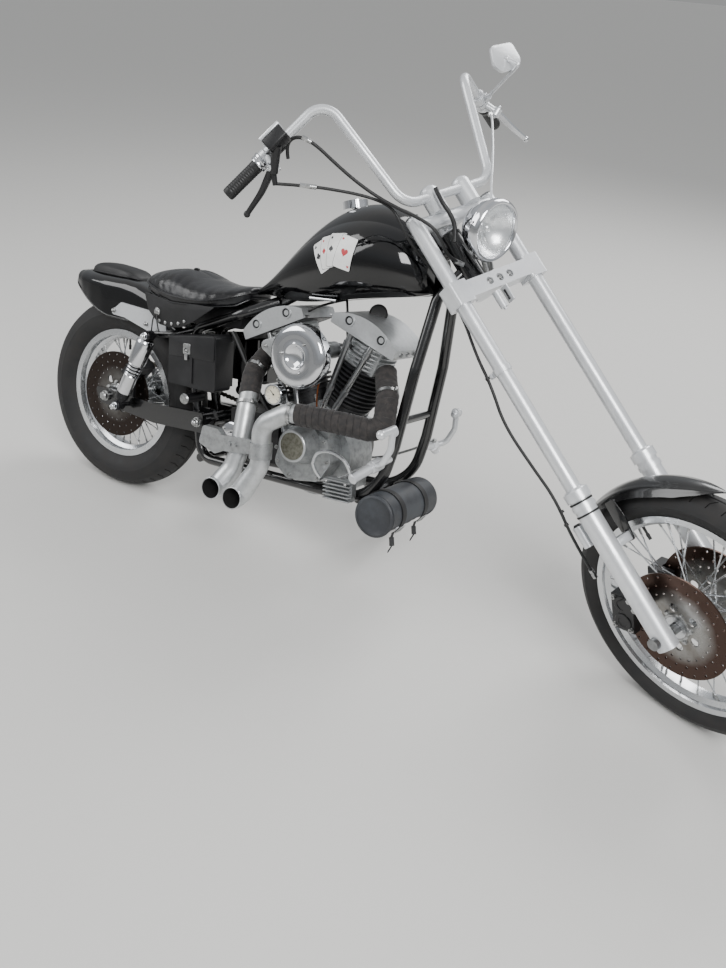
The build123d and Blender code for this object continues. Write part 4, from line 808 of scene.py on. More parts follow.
class CHOPPER_OT_shocks(bpy.types.Operator):
    """Make both shocks: cover, open spring, bright foot and rubber-bushed eyes"""
    bl_idname = "chopper.shocks"
    bl_label = "Shocks"

    def execute(self, context):
        look = context.scene.chopper_shocks
        covers, springs, bodies = bmesh.new(), bmesh.new(), bmesh.new()
        for side in (-1, 1):
            low, high = [Vector((p.x, side * p.y, p.z)) for p in (SHOCK_LOW, SHOCK_HIGH)]
            place = around(low, high - low)
            lathe(covers, [(170, 0), (170, 26), (172, 28), (250, 28), (256, 26), (262, 20), (264, 0)],
                  place, 40)
            lathe(covers, [(53, 0), (53, 20), (57, 24), (124, 24), (127, 22), (127, 0)], place, 40)
            coil = bmesh.new()
            foot = move(COIL_RADIUS, 0, SPRING_SPAN[0]) @ rotate(90, "X")
            bmesh.ops.create_circle(coil, cap_ends=False, segments=8, radius=look.wire, matrix=foot)
            steps = look.turns * TURN_STEPS
            rise = (SPRING_SPAN[1] - SPRING_SPAN[0]) / steps
            bmesh.ops.spin(coil, geom=coil.verts[:] + coil.edges[:], cent=(0, 0, 0), axis=(0, 0, 1),
                           dvec=(0, 0, rise), angle=tau * look.turns, steps=steps, use_merge=False)
            merge(springs, coil, place)
            lathe(bodies, [(0, 0), (0, 11), (54, 13), (130, 14), (172, 14), (172, 0)], place, 24)
            lathe(bodies, [(24, 0), (24, 16), (34, 22), (53, 22), (53, 0)], place, 24)
            for at in (low, high):
                eye = around(at - Vector((0, 15, 0)), LEFT)
                lathe(bodies, [(0, 10), (0, 15), (2, 17), (28, 17), (30, 15), (30, 10)], eye, 28,
                      closed=True)
                inner = 108 if at is low else 119
                bar(bodies, (at.x, side * inner, at.z), (at.x, side * 168, at.z), 8)
            for at in (low, high):
                bolt(covers, (at.x, side * 164, at.z), (0, side, 0), 10, "dome")
        piece("shock_covers", "chassis", "chrome_plate", covers, ["shocks"])
        piece("shock_springs", "chassis", "chrome_plate", springs)
        piece("shock_bodies", "chassis", "black_oxide", bodies)
        return {"FINISHED"}


# Soft pieces

class ChopperSeat(bpy.types.PropertyGroup):
    pleat: bpy.props.FloatProperty(name="Pleat spacing",
                                   description="Between two pleats along the side, mm",
                                   default=31.0, min=10)
    voxel: bpy.props.FloatProperty(name="Mesh", description="Size of the cloth's mesh, mm", default=5.0,
                                   min=3)
    swell: bpy.props.FloatProperty(name="Swell", description="How far the padding pushes the leather, mm",
                                   default=9.0)
    pressure: bpy.props.FloatProperty(name="Pressure", description="Pressure of the padding", default=4.0)


# the saddle's ends, its heights along x (crown, piping and foot) and its half width
SEAT_SPAN = (-706, -300)
SEAT_CROWN = ((-706, 474), (-690, 484), (-655, 496), (-621, 503), (-585, 507), (-549, 506), (-515, 494),
              (-486, 482), (-430, 470), (-385, 466), (-340, 469), (-300, 473))
SEAT_PIPING = ((-706, 462), (-660, 450), (-600, 435), (-540, 424), (-480, 418), (-415, 418), (-360, 428),
               (-300, 450))
SEAT_FOOT = ((-706, 446), (-660, 427), (-600, 410), (-540, 400), (-416, 400), (-330, 410), (-300, 434))
SEAT_HALF = ((-706, 40), (-698, 70), (-680, 98), (-650, 118), (-600, 136), (-540, 142), (-470, 141),
             (-420, 135), (-370, 118), (-330, 92), (-306, 66), (-300, 48))
# the button's place in plan, and the number and length of the pleats that leave it
SEAT_BUTTON = Vector((-560, 0))
SEAT_RAYS = 7
SEAT_RAY = 105.0
PLEAT_DEPTH = 3.6
CLOTH_FRAMES = 20


def smoothed(table, x):
    """A smoothed value from a table of (x, value) points."""
    return (between(table, x - 8) + between(table, x) * 2 + between(table, x + 8)) / 4


def cushion(x_low, x_high, crown, piping, foot, half, rows=60, columns=40, fullness=2.4):
    """A closed pad: a crowned top from edge to edge, a low side band and a flat foot."""
    bm = bmesh.new()
    bmesh.ops.create_grid(bm, x_segments=rows, y_segments=columns, size=1)
    for vert in bm.verts:
        x = (x_low + x_high) / 2 + vert.co.x * (x_high - x_low) / 2
        v = vert.co.y
        edge, top = piping(x), crown(x)
        vert.co = (x, v * half(x), edge + (top - edge) * (1 - abs(v) ** fullness) ** (1 / fullness))
    rim = [e for e in bm.edges if e.is_boundary]
    made = bmesh.ops.extrude_edge_only(bm, edges=rim)
    for vert in [v for v in made["geom"] if isinstance(v, bmesh.types.BMVert)]:
        vert.co.z = foot(vert.co.x)
        vert.co.y *= 0.95
    bmesh.ops.edgeloop_fill(bm, edges=[e for e in bm.edges if e.is_boundary])
    bmesh.ops.recalc_face_normals(bm, faces=bm.faces)
    return bm


def pad_out(bm, name, look, held, swell):
    """Blow a pad up by cloth: remeshed, its seams held and pressed out by its padding."""
    mesh = bpy.data.meshes.new(name)
    bm.to_mesh(mesh)
    bm.free()
    pad = bpy.data.objects.new(name, mesh)
    bpy.context.scene.collection.objects.link(pad)
    remesh = pad.modifiers.new("remesh", "REMESH")
    remesh.mode = "VOXEL"
    remesh.voxel_size = look.voxel
    fresh = bpy.data.meshes.new_from_object(pad.evaluated_get(bpy.context.evaluated_depsgraph_get()))
    pad.modifiers.clear()
    pad.data = fresh
    rest = [v.co.copy() for v in fresh.vertices]
    # the simulation works in metres
    fresh.transform(Matrix.Scale(MM, 4))
    group = pad.vertex_groups.new(name="held")
    for vert in fresh.vertices:
        group.add([vert.index], held(rest[vert.index]), "REPLACE")
    cloth = pad.modifiers.new("cloth", "CLOTH")
    cloth.settings.use_pressure = True
    cloth.settings.uniform_pressure_force = look.pressure
    cloth.settings.effector_weights.gravity = 0
    cloth.settings.vertex_group_mass = "held"
    cloth.settings.quality = 6
    cloth.settings.tension_stiffness = 20
    cloth.settings.compression_stiffness = 12
    cloth.settings.bending_stiffness = 0.4
    scene = bpy.context.scene
    for number in range(1, CLOTH_FRAMES + 1):
        scene.frame_set(number)
    blown = pad.evaluated_get(bpy.context.evaluated_depsgraph_get()).data
    ends = [v.co / MM for v in blown.vertices]
    pad.modifiers.clear()
    pad.vertex_groups.clear()
    scene.frame_set(1)
    for vert, start, end in zip(fresh.vertices, rest, ends):
        step = end - start
        if step.length > swell:
            step = step.normalized() * swell
        vert.co = start + step
    bm = bmesh.new()
    bm.from_mesh(fresh)
    bpy.data.objects.remove(pad)
    return bm


def soften(bm):
    """Take the mesher's steps out of a blown-up pad."""
    bmesh.ops.smooth_vert(bm, verts=bm.verts, factor=0.5, use_axis_x=True, use_axis_y=True,
                          use_axis_z=True)


def upholstered(name, surface, bm, node):
    """A blown-up pad as a finished piece, subdivided once."""
    pad = piece(name, "chassis", surface, bm, [node], sharp=80)
    more = pad.modifiers.new("smooth", "SUBSURF")
    more.levels = more.render_levels = 1


def seat_pleats(at, look):
    """How deep a crease is at a point of the saddle's top, from 0 to 1."""
    out = Vector((at.x, at.y)) - SEAT_BUTTON
    depth = exp(-(out.length / 13) ** 2)
    turn = atan2(out.y, out.x) * SEAT_RAYS / tau
    off = abs(turn - round(turn)) * tau / SEAT_RAYS * out.length
    depth = max(depth, exp(-(off / 8) ** 2) * max(0.0, 1 - out.length / SEAT_RAY))
    share = abs(at.y) / max(smoothed(SEAT_HALF, at.x), 1)
    along = at.x / look.pleat + 0.12 * sin(at.x * 0.11 + at.y)
    off = abs(along - round(along)) * look.pleat
    ray = exp(-(off / 7) ** 2) * limited((share - 0.5) / 0.3) * limited((1.02 - share) / 0.1)
    return max(depth, ray * 0.4)


class CHOPPER_OT_seat(bpy.types.Operator):
    """Make the solo seat with its button, pleats and piping, and the studded skirt below it"""
    bl_idname = "chopper.seat"
    bl_label = "Seat"

    def execute(self, context):
        look = context.scene.chopper_seat
        shell = cushion(*SEAT_SPAN, lambda x: smoothed(SEAT_CROWN, x) - 3,
                        lambda x: smoothed(SEAT_PIPING, x), lambda x: smoothed(SEAT_FOOT, x),
                        lambda x: smoothed(SEAT_HALF, x) - 3)

        def held(at):
            if at.z < smoothed(SEAT_PIPING, at.x) + 4:
                return 1.0
            return min(1.0, 1.4 * seat_pleats(at, look))
        bm = pad_out(shell, "saddle", look, held, look.swell)
        soften(bm)
        bm.normal_update()
        for vert in bm.verts:
            if vert.co.z > smoothed(SEAT_PIPING, vert.co.x) + 1:
                vert.co -= vert.normal * PLEAT_DEPTH * seat_pleats(vert.co, look)
        upholstered("saddle_leather", "cowhide", bm, "seat")

        bm = bmesh.new()
        xs = evenly(*SEAT_SPAN, 44)
        for table, radius in ((SEAT_PIPING, 3.2), (SEAT_FOOT, 2.2)):
            pull = 1.0 if table is SEAT_PIPING else 0.955
            left = [(x, smoothed(SEAT_HALF, x) * pull, smoothed(table, x)) for x in xs]
            right = [(x, -y, z) for x, y, z in left[::-1]]
            wire(bm, left + right, radius, closed=True, sides=12)
        ball(bm, (SEAT_BUTTON.x, 0, smoothed(SEAT_CROWN, SEAT_BUTTON.x) - 3), 10, 16, (1, 1, 0.45))
        piece("seat_piping", "chassis", "cowhide", bm)
        self.skirt()
        return {"FINISHED"}

    def skirt(self):
        """The leather valance under the seat's sides, its studs and round ornaments."""
        outline = [(-655, 425), (-640, 372), (-618, 350), (-592, 330), (-548, 324), (-498, 330),
                   (-455, 350), (-405, 382), (-372, 402), (-440, 404), (-540, 404)]
        bm, studs = bmesh.new(), bmesh.new()
        for side in (-1, 1):
            y_low = 133 if side > 0 else -136
            plate(bm, outline, across(y_low), 3, 6, 0.8)
            for x, z in ((-592, 341), (-567, 337), (-541, 336), (-514, 340), (-490, 348)):
                ball(studs, (x, side * 136.5, z), 5.6, 12, (1, 0.55, 1))
            lathe(studs, [(0, 12), (1.5, 12), (3, 9), (4.5, 8), (5.5, 4), (5.5, 0)],
                  around((-601, side * 136, 368), (0, side, 0)), 24)
            for lean in (-7, 6):
                wire(bm, [(-601, side * 138, 366), (-603 + lean, side * 143, 352),
                          (-604 + lean * 1.6, side * 143, 330),
                          (-602 + lean * 2.4, side * 142, 306)], 2.2, sides=8)
        piece("seat_skirt", "chassis", "harness_leather", bm)
        piece("seat_studs", "chassis", "zinc_plate", studs)


PAD_SPAN = (-996, -776)
PAD_CROWN = ((-996, 476), (-980, 494), (-950, 499), (-905, 498), (-850, 490), (-810, 482), (-785, 468),
             (-776, 455))
PAD_EDGE = ((-996, 466), (-960, 466), (-905, 463), (-850, 459), (-800, 456), (-776, 450))
PAD_HALF = ((-996, 26), (-985, 40), (-960, 49), (-920, 54), (-850, 56), (-810, 54), (-785, 42),
            (-776, 28))


class CHOPPER_OT_pad(bpy.types.Operator):
    """Make the passenger's pad on the rear fender"""
    bl_idname = "chopper.pad"
    bl_label = "Passenger pad"

    def execute(self, context):
        look = context.scene.chopper_seat
        shell = cushion(*PAD_SPAN, lambda x: smoothed(PAD_CROWN, x) - 2, lambda x: smoothed(PAD_EDGE, x),
                        lambda x: smoothed(PAD_EDGE, x) - 8, lambda x: smoothed(PAD_HALF, x), 36, 20, 3.0)

        def held(at):
            seam = abs(at.x - sum(PAD_SPAN) / 2) < 3
            return 1.0 if at.z < smoothed(PAD_EDGE, at.x) + 3 or seam else 0.0
        bm = pad_out(shell, "pad", look, held, 4)
        soften(bm)
        upholstered("pad_leather", "harness_leather", bm, "passenger_pad")
        bm = bmesh.new()
        xs = evenly(*PAD_SPAN, 24)
        left = [(x, smoothed(PAD_HALF, x), smoothed(PAD_EDGE, x) + 1) for x in xs]
        wire(bm, left + [(x, -y, z) for x, y, z in left[::-1]], 2.4, closed=True, sides=12)
        piece("pad_piping", "chassis", "harness_leather", bm)
        return {"FINISHED"}


class ChopperToolRoll(bpy.types.PropertyGroup):
    strap: bpy.props.FloatProperty(name="Strap", description="Width of a strap, mm", default=22.0)
    sag: bpy.props.FloatProperty(name="Sag",
                                 description="How far the leather dents between its seams, mm",
                                 default=2.5)


# the roll's axis in the side view, its ends and its radius, and where its straps lie
ROLL_AT = Vector((254, 0, -107))
ROLL_SPAN = (-185.0, 95.0)
ROLL_RADIUS = 58.0
STRAP_YS = (-120, 18)
BUCKLE_TURN = radians(-38)


def on_roll(turn, radius, y):
    """A point of the roll from its turn about the axis, 0 ahead and a quarter up."""
    return Vector((ROLL_AT.x + radius * cos(turn), y, ROLL_AT.z + radius * sin(turn)))


def roll_band(bm, y_low, y_high, radius, turns, thick, steps=28):
    """A strip of leather wrapped about the roll between two turns."""
    part = bmesh.new()
    low = [part.verts.new(on_roll(turns[0], radius, y)) for y in (y_low, y_high)]
    edge = part.edges.new(low)
    bmesh.ops.spin(part, geom=[edge, *low], cent=ROLL_AT, axis=LEFT, dvec=(0, 0, 0),
                   angle=turns[0] - turns[1], steps=steps, use_merge=False)
    bmesh.ops.solidify(part, geom=part.faces[:], thickness=thick)
    merge(bm, part)


class CHOPPER_OT_tool_roll(bpy.types.Operator):
    """Make the tool roll with its flap, straps, buckles and hanging ends"""
    bl_idname = "chopper.tool_roll"
    bl_label = "Tool roll"

    def execute(self, context):
        look = context.scene.chopper_tool_roll
        low, high = ROLL_SPAN
        bm = bmesh.new()
        r = ROLL_RADIUS
        length = high - low
        profile = [(4, 0), (4, r - 9), (1, r - 5), (0, r - 1)]
        profile += [(length * i / 24, r - 0.4) for i in range(1, 24)]
        profile += [(length, r - 1), (length - 1, r - 5), (length - 4, r - 9), (length - 4, 0)]
        lathe(bm, profile, around((ROLL_AT.x, low, ROLL_AT.z), LEFT), 48)
        for vert in bm.verts:
            out = Vector((vert.co.x - ROLL_AT.x, 0, vert.co.z - ROLL_AT.z))
            if out.length > r - 3 and low + 8 < vert.co.y < high - 8:
                wave = sin(vert.co.y * 0.06 + 1.3) * sin(vert.co.x * 0.09)
                wave += 0.6 * sin(vert.co.y * 0.15 + vert.co.z * 0.1)
                vert.co -= out.normalized() * look.sag * (0.6 + 0.5 * wave)
        for y, out in ((low, -1), (high, 1)):
            welt = [(-3, r - 5), (-2, r + 1), (1, r + 3), (5, r + 2.5), (6, r - 3)]
            lathe(bm, welt, around((ROLL_AT.x, y, ROLL_AT.z), (0, -out, 0)), 48, closed=True)
        body = piece("tool_roll_leather", "chassis", "weathered_leather", bm, ["tool_roll"], sharp=50)

        bm = bmesh.new()
        roll_band(bm, low + 6, high - 6, r + 1.0, (radians(150), radians(-28)), 2.4)
        seam = [on_roll(radians(-24), r + 3.4, y) for y in (low + 8, (low + high) / 2, high - 8)]
        wire(bm, seam, 1.2, sides=8)
        piece("tool_roll_flap", "chassis", "weathered_leather", bm, sharp=40)

        bm, metal = bmesh.new(), bmesh.new()
        half = look.strap / 2
        for y in STRAP_YS:
            roll_band(bm, y - half, y + half, r + 4.0, (radians(200), radians(-60)), 2.6)
            start = on_roll(radians(-60), r + 5, y)
            hang = [start, start + Vector((-4, 0, -16)), start + Vector((2, -5, -38)),
                    start + Vector((-7, -9, -58))]
            for a, b in zip(hang, hang[1:]):
                way = b - a
                place = around((a + b) / 2, way) @ rotate(90, "Z")
                block(bm, (2.6, look.strap * 0.7, way.length + 2), place, 1.0, 1)
            at = on_roll(BUCKLE_TURN, r + 8, y)
            out = (at - on_roll(BUCKLE_TURN, 0, y)).normalized()
            place = around(at, out)
            for u, v, w, h in ((0, 11, 30, 3), (0, -11, 30, 3), (14, 0, 3, 25), (-14, 0, 3, 25),
                               (0, 0, 28, 2)):
                block(metal, (w, h, 3), place @ move(u, v, 0), 0.8, 1)
        # the straps that hang the roll from the cross tube behind it
        for y in STRAP_YS:
            a, b = Vector((160, y, -86)), on_roll(radians(165), r + 4, y)
            way = b - a
            place = around((a + b) / 2, way) @ rotate(90, "Z")
            block(bm, (2.6, look.strap, way.length + 6), place, 1.0, 1)
        piece("tool_roll_straps", "chassis", "harness_leather", bm, sharp=40)
        piece("tool_roll_buckles", "chassis", "zinc_plate", metal)
        return {"FINISHED"}


# Engine and exhaust

class ChopperWrap(bpy.types.PropertyGroup):
    pitch: bpy.props.FloatProperty(name="Pitch", description="Advance of the tape in one turn, mm",
                                   default=19.0, min=8)
    thick: bpy.props.FloatProperty(name="Thickness",
                                   description="How far the tape stands off the pipe, mm", default=3.2)


PIPE_RADIUS = 28.5
# points round a pipe
PIPE_STEPS = 36
# each pipe's route from its head to where its tape ends, and the radii of its bends
WRAPS = {
    "front": ([(176, -38, 274), (228, -112, 212), (250, -165, 125), (143, -205, 141), (-16, -232, 149)],
              [60, 40, 80]),
    "rear": ([(-222, -40, 290), (-232, -112, 228), (-208, -174, 130)], [60]),
}
# where the bare pipes go on from there, turned out at their ends
TAILS = {
    "front": ([(-100, -240, 103), (-99, -244, -17), (-156, -266, -118), (-154, -301, -115)],
              [60, 50, 60, 28]),
    "rear": ([(-201, -213, 1), (-213, -225, -50), (-243, -256, -107), (-241, -290, -105)],
             [60, 80, 60, 28]),
}
# how much wider the mouths are, and over which length they widen
FLARE = 4.0
FLARE_LENGTH = 130.0


def pipe(route, bends):
    """A bare pipe with an open end, its soot, and the path it follows."""
    path = rounded(route, bends, 5)
    length = sum((b - a).length for a, b in zip(path, path[1:]))
    count = int(length / 6)
    bm, soot = bmesh.new(), bmesh.new()
    mouth = PIPE_RADIUS + FLARE
    outer = []
    for i in range(count):
        along = length * i / count
        share = limited((along - length + FLARE_LENGTH) / (FLARE_LENGTH * 0.6))
        outer.append((along, PIPE_RADIUS + FLARE * share * share * (3 - 2 * share)))
    inner = [(length - 8 * i, mouth - 2.3) for i in range(6)]
    lathe(bm, [(0, 0)] + outer + [(length - 0.6, mouth), (length, mouth - 0.7)] + inner,
          steps=PIPE_STEPS)
    bend(bm, path)
    lathe(soot, [(length - 1 - 6 * i, mouth - 3.2) for i in range(7)] + [(length - 38, 0)],
          steps=PIPE_STEPS)
    bend(soot, path)
    return bm, soot


class CHOPPER_OT_wrap(bpy.types.Operator):
    """Make both pipes, wind their tape, clamp its ends and blacken the mouths"""
    bl_idname = "chopper.wrap"
    bl_label = "Exhaust tape"

    def execute(self, context):
        look = context.scene.chopper_wrap
        bands = bmesh.new()
        for name, (route, bends) in WRAPS.items():
            path = rounded(route, bends)
            length = sum((b - a).length for a, b in zip(path, path[1:]))
            turns = int((length - 6) / look.pitch) - 1
            bm = bmesh.new()
            low, high = PIPE_RADIUS + 0.6, PIPE_RADIUS + look.thick
            profile = [(low, 0), (high, 1.2), (high + 0.3, look.pitch * 0.4),
                       (high - 0.4, look.pitch * 0.85), (low + 0.8, look.pitch + 1.0)]
            points = [bm.verts.new((radius, 0, along)) for radius, along in profile]
            lines = [bm.edges.new(two) for two in zip(points, points[1:])]
            steps = 28
            bmesh.ops.spin(bm, geom=points + lines, cent=(0, 0, 0), axis=(0, 0, 1),
                           dvec=(0, 0, look.pitch / steps), angle=tau * turns, steps=steps * turns,
                           use_merge=False)
            for vert in bm.verts:
                turn = atan2(vert.co.y, vert.co.x)
                swell = 1 + 0.012 * sin(vert.co.z * 0.23 + 2 * turn)
                swell += 0.008 * sin(vert.co.z * 0.61 - turn)
                vert.co.x *= swell
                vert.co.y *= swell
            bend(bm, path)
            piece(f"{name}_pipe_tape", "chassis", "woven_glass_tape", bm, sharp=50)
            for at, ahead in ((path[-1], path[-2]), (path[2], path[1])):
                way = (ahead - at).normalized()
                place = around(at + way * 3, way)
                lathe(bands, [(0, PIPE_RADIUS + 2), (0, high + 1.6), (10, high + 1.6),
                              (10, PIPE_RADIUS + 2)], place, 36, closed=True)
                block(bands, (10, 8, 12), place @ Matrix.Rotation(2.2, 4, "Z")
                      @ move(high + 5, 0, 5), 1)
        piece("pipe_tape_clamps", "chassis", "zinc_plate", bands)
        pipes, soot = bmesh.new(), bmesh.new()
        for name, (route, bends) in WRAPS.items():
            bare, black = pipe(route + TAILS[name][0], bends + TAILS[name][1])
            merge(pipes, bare)
            merge(soot, black)
        piece("exhaust_pipes", "chassis", "aluminised_pipe", pipes, ["exhausts"], sharp=45)
        piece("tail_soot", "chassis", "soot", soot, sharp=60)
        return {"FINISHED"}


# the air cleaner's axis, its back plane, its cover's outline by height and radius, and the arcs of its
# plate: middle, radius and turns
CLEANER = Vector((-15, 0, 304))
CLEANER_BACK = 176
CLEANER_RIM = ((0, 84), (0, 90), (2, 91), (22, 91), (30, 90), (36, 86.5), (40, 81), (43, 74), (44, 64),
               (44, 58), (43.4, 52), (43.4, 40), (44.6, 37), (44.6, 34), (43, 31.5), (39, 27), (35, 21),
               (32.5, 13), (31.6, 6), (31.4, 0))
CLEANER_ARCS = ((-15, 304, 85, range(-102, 79, 9)), (-146, 318, 17, range(102, 259, 26)))


class CHOPPER_OT_air_cleaner(bpy.types.Operator):
    """Make the air cleaner's polished cover, its drop-shaped back plate and its screws"""
    bl_idname = "chopper.air_cleaner"
    bl_label = "Air cleaner"

    def execute(self, context):
        face = around(CLEANER, RIGHT)
        bm = bmesh.new()
        rim = [(CLEANER_BACK + height, radius) for height, radius in CLEANER_RIM]
        lathe(bm, eased(rim[:9], 3)[:-1] + rim[8:], face, 72)
        piece("air_cleaner_cover", "chassis", "chrome_plate", bm, ["air_cleaner"], sharp=40)
        bm = bmesh.new()
        drop = []
        for x, z, radius, turns in CLEANER_ARCS:
            drop += [(x + radius * cos(radians(turn)), z + radius * sin(radians(turn))) for turn in turns]
        plate(bm, drop, across(-CLEANER_BACK), 7.7, 0, 1.0)
        piece("air_cleaner_plate", "chassis", "cast_aluminium", bm)
        bm = bmesh.new()
        bolt_ring(bm, CLEANER + Vector((0, -219.2, 0)), 46, (52, 172, 292), -1, 4.2, "dome")
        for x, z in ((-146, 318), (-118, 262), (-96, 226)):
            bolt(bm, (x, -CLEANER_BACK, z), RIGHT, 5, "dome")
        piece("air_cleaner_screws", "chassis", "zinc_plate", bm)
        return {"FINISHED"}


class CHOPPER_OT_gauge(bpy.types.Operator):
    """Make the oil gauge's bezel, dial, marks and hand"""
    bl_idname = "chopper.gauge"
    bl_label = "Oil gauge"

    def execute(self, context):
        centre = Vector((-114, -172, 180))
        face = around(centre, RIGHT)
        bm = bmesh.new()
        lathe(bm, [(0, 27), (3.5, 30.4), (5, 29), (5, 26), (0.4, 25.6), (0, 25)], face, 48)
        piece("gauge_bezel", "chassis", "chrome_plate", bm)
        bm = bmesh.new()
        bar(bm, (-114, -171.5, 180), (-114, -172.8, 180), 26, sides=40)
        piece("gauge_dial", "chassis", "dial_card", bm)
        bm = bmesh.new()
        for i in range(11):
            turn = radians(225 - 27 * i)
            out = Vector((cos(turn), 0, sin(turn)))
            size = (5 if i % 5 == 0 else 3, 0.8, 1.4 if i % 5 == 0 else 0.9)
            at = centre + out * 20 + Vector(RIGHT)
            block(bm, size, Matrix.Translation(at) @ Matrix.Rotation(-turn, 4, "Y"), 0.1, 1)
        block(bm, (19, 0.8, 1.6), Matrix.Translation(centre + Vector((-5, -1.6, 5)))
              @ rotate(45, "Y"), 0.2, 1)
        ball(bm, centre + Vector((0, -1.6, 0)), 3, 10, (1, 0.5, 1))
        piece("gauge_marks", "chassis", "black_ink", bm)
        return {"FINISHED"}


# middles of the timer cover, of both ends of the primary cover and of the gearbox's end cover
TIMER = ENGINE + Vector((0, -150, 44))
PRIMARY_FRONT = Vector((-28, 150, 8))
CLUTCH = Vector((-290, 150, 32))
GEARBOX_END = Vector((-290, -128, 20))


class CHOPPER_OT_engine_parts(bpy.types.Operator):
    """Make the engine's nuts, covers, pipes and leads"""
    bl_idname = "chopper.engine_parts"
    bl_label = "Engine parts"

    def execute(self, context):
        self.covers()
        self.pipes()
        self.timer_and_regulator()
        return {"FINISHED"}

    def covers(self):
        """Nuts, rocker gaskets and the covers on the primary drive and the gearbox."""
        nuts, black, covers = bmesh.new(), bmesh.new(), bmesh.new()
        for side in (-1, 1):
            part = bmesh.new()
            for u, v in ((-98, -78), (98, -78), (-98, 58), (98, 58), (0, 62)):
                if abs(u) > 50:
                    block(part, (26, 26, 9), move(u * 1.02, v, 392), 2)
                bolt(part, (u * 1.02, v, 396), (0, 0, 1), 7, "dome")
            for v in (-58, -18, 22):
                bolt(part, (side * 112, v, 402), (side, 0, 0), 6, "hex")
            for u, v in ((-44, -44), (44, -44), (-44, 44), (44, 44)):
                bar(part, (u * 1.1, v * 1.1, 152), (u * 1.1, v * 1.1, 172), 6, sides=8)
            merge(nuts, part, in_bank(side))
            part = bmesh.new()
            plate(part, [(-109, -95), (109, -95), (109, 73), (-109, 73)], move(0, 0, 386.5), 1.6)
            for u in (-57, 57):
                place = around((u, -94.2, 420), RIGHT)
                lathe(part, [(0, 13.2), (3.2, 13.2), (3.2, 8), (0, 8)], place, 24, closed=True)
            merge(black, part, in_bank(side))
        for x, z in ((-86, -22), (-64, 60), (0, 80), (74, 60), (88, 2), (56, -50), (-42, -58), (-92, 18)):
            bolt(nuts, ENGINE + Vector((x, -136, z)), RIGHT, 5, "socket")
        bolt_ring(nuts, TIMER, 55, (35, 155, 275), -1, 4.5, "socket")
        # primary cover on the left: a ring of screws, the clutch cover and the inspection cover
        bolt_ring(nuts, PRIMARY_FRONT, 74, range(-80, 81, 40), 1, 5, "socket")
        bolt_ring(nuts, CLUTCH, 94, range(95, 271, 35), 1, 5, "socket")
        bolt_ring(nuts, (PRIMARY_FRONT + CLUTCH) / 2, 82, (90, 270), 1, 5, "socket")
        lathe(covers, [(0, 56), (5, 56), (9, 52), (10, 40), (10, 0)], around(CLUTCH, LEFT), 56)
        plate(covers, [(-120, -26), (-20, -26), (-20, 34), (-120, 34)], across(150), 6, 26, 1.5)
        bolt_ring(nuts, CLUTCH + Vector((0, 8, 0)), 47, (28.648, 148.648, 268.648), 1, 4, "dome")
        for x in (-112, -28):
            bolt(nuts, (x, 156, 4), LEFT, 4, "dome")
        # gearbox end cover and frame bolts
        lathe(covers, [(0, 44), (6, 44), (9, 38), (9, 16), (14, 12), (14, 0)],
              around(GEARBOX_END, RIGHT), 40)
        bolt_ring(nuts, GEARBOX_END + Vector((0, -8, 0)), 38, range(0, 360, 72), -1, 4.2, "hex")
        for side in (-1, 1):
            bolt(nuts, (-452, side * 109, 35), (0, side, 0), 13, "dome")
            bolt(nuts, (-850, side * 114, 63), (0, side, 0), 14, "hex")
            for x, z in ((-826, 350), (-684, 320), (-634, 302)):
                bolt(nuts, (x, side * 97, z), (0, side, 0), 7, "dome")
        for x in (82, 146):
            bolt(nuts, (x, -169, -40), RIGHT, 4, "hex")
        bolt(nuts, (-442, -176, 268), RIGHT, 4, "dome")
        piece("engine_nuts", "chassis", "zinc_plate", nuts)
        piece("rocker_gaskets", "chassis", "black_oxide", black)
        piece("engine_covers", "chassis", "chrome_plate", covers)

    def pipes(self):
        """The breather pipe, the plug leads, three hoses and the coil on the front head."""
        bm = bmesh.new()
        wire(bm, [(10, -128, 262), (16, -134, 240), (12, -136, 200), (14, -138, 160),
                  (16, -132, 132)], 2.4)
        piece("breather_pipe", "chassis", "drawn_copper", bm)
        bm = bmesh.new()
        for side in (-1, 1):
            plug = in_bank(side) @ Vector((side * -34, -72, 350))
            wire(bm, [plug, plug + Vector((0, -22, 12)), Vector((plug.x * 0.7, -64, 430)),
                      Vector((30, -36, 462))], 3.6)
            bar(bm, plug + Vector((0, 10, -6)), plug + Vector((0, -14, 8)), 7, 5.5, 12)
        wire(bm, [(-150, -80, 60), (-196, -96, 120), (-262, -92, 210), (-296, -96, 280),
                  (-322, -110, 336)], 6.5)
        wire(bm, [(-158, -64, 60), (-214, -76, 130), (-282, -74, 210), (-312, -80, 300),
                  (-336, -84, 330)], 6.5)
        wire(bm, [(-446, 30, 50), (-430, -96, 30), (-380, -116, -8), (-300, -112, -50),
                  (-150, -112, -78)], 5)
        lathe(bm, [(0, 0), (0, 24), (3, 27), (34, 27), (38, 22), (38, 0)],
              around((98, 36, 424), (0.5, -1, 0.2)), 32)
        piece("engine_hoses", "chassis", "moulded_rubber", bm)

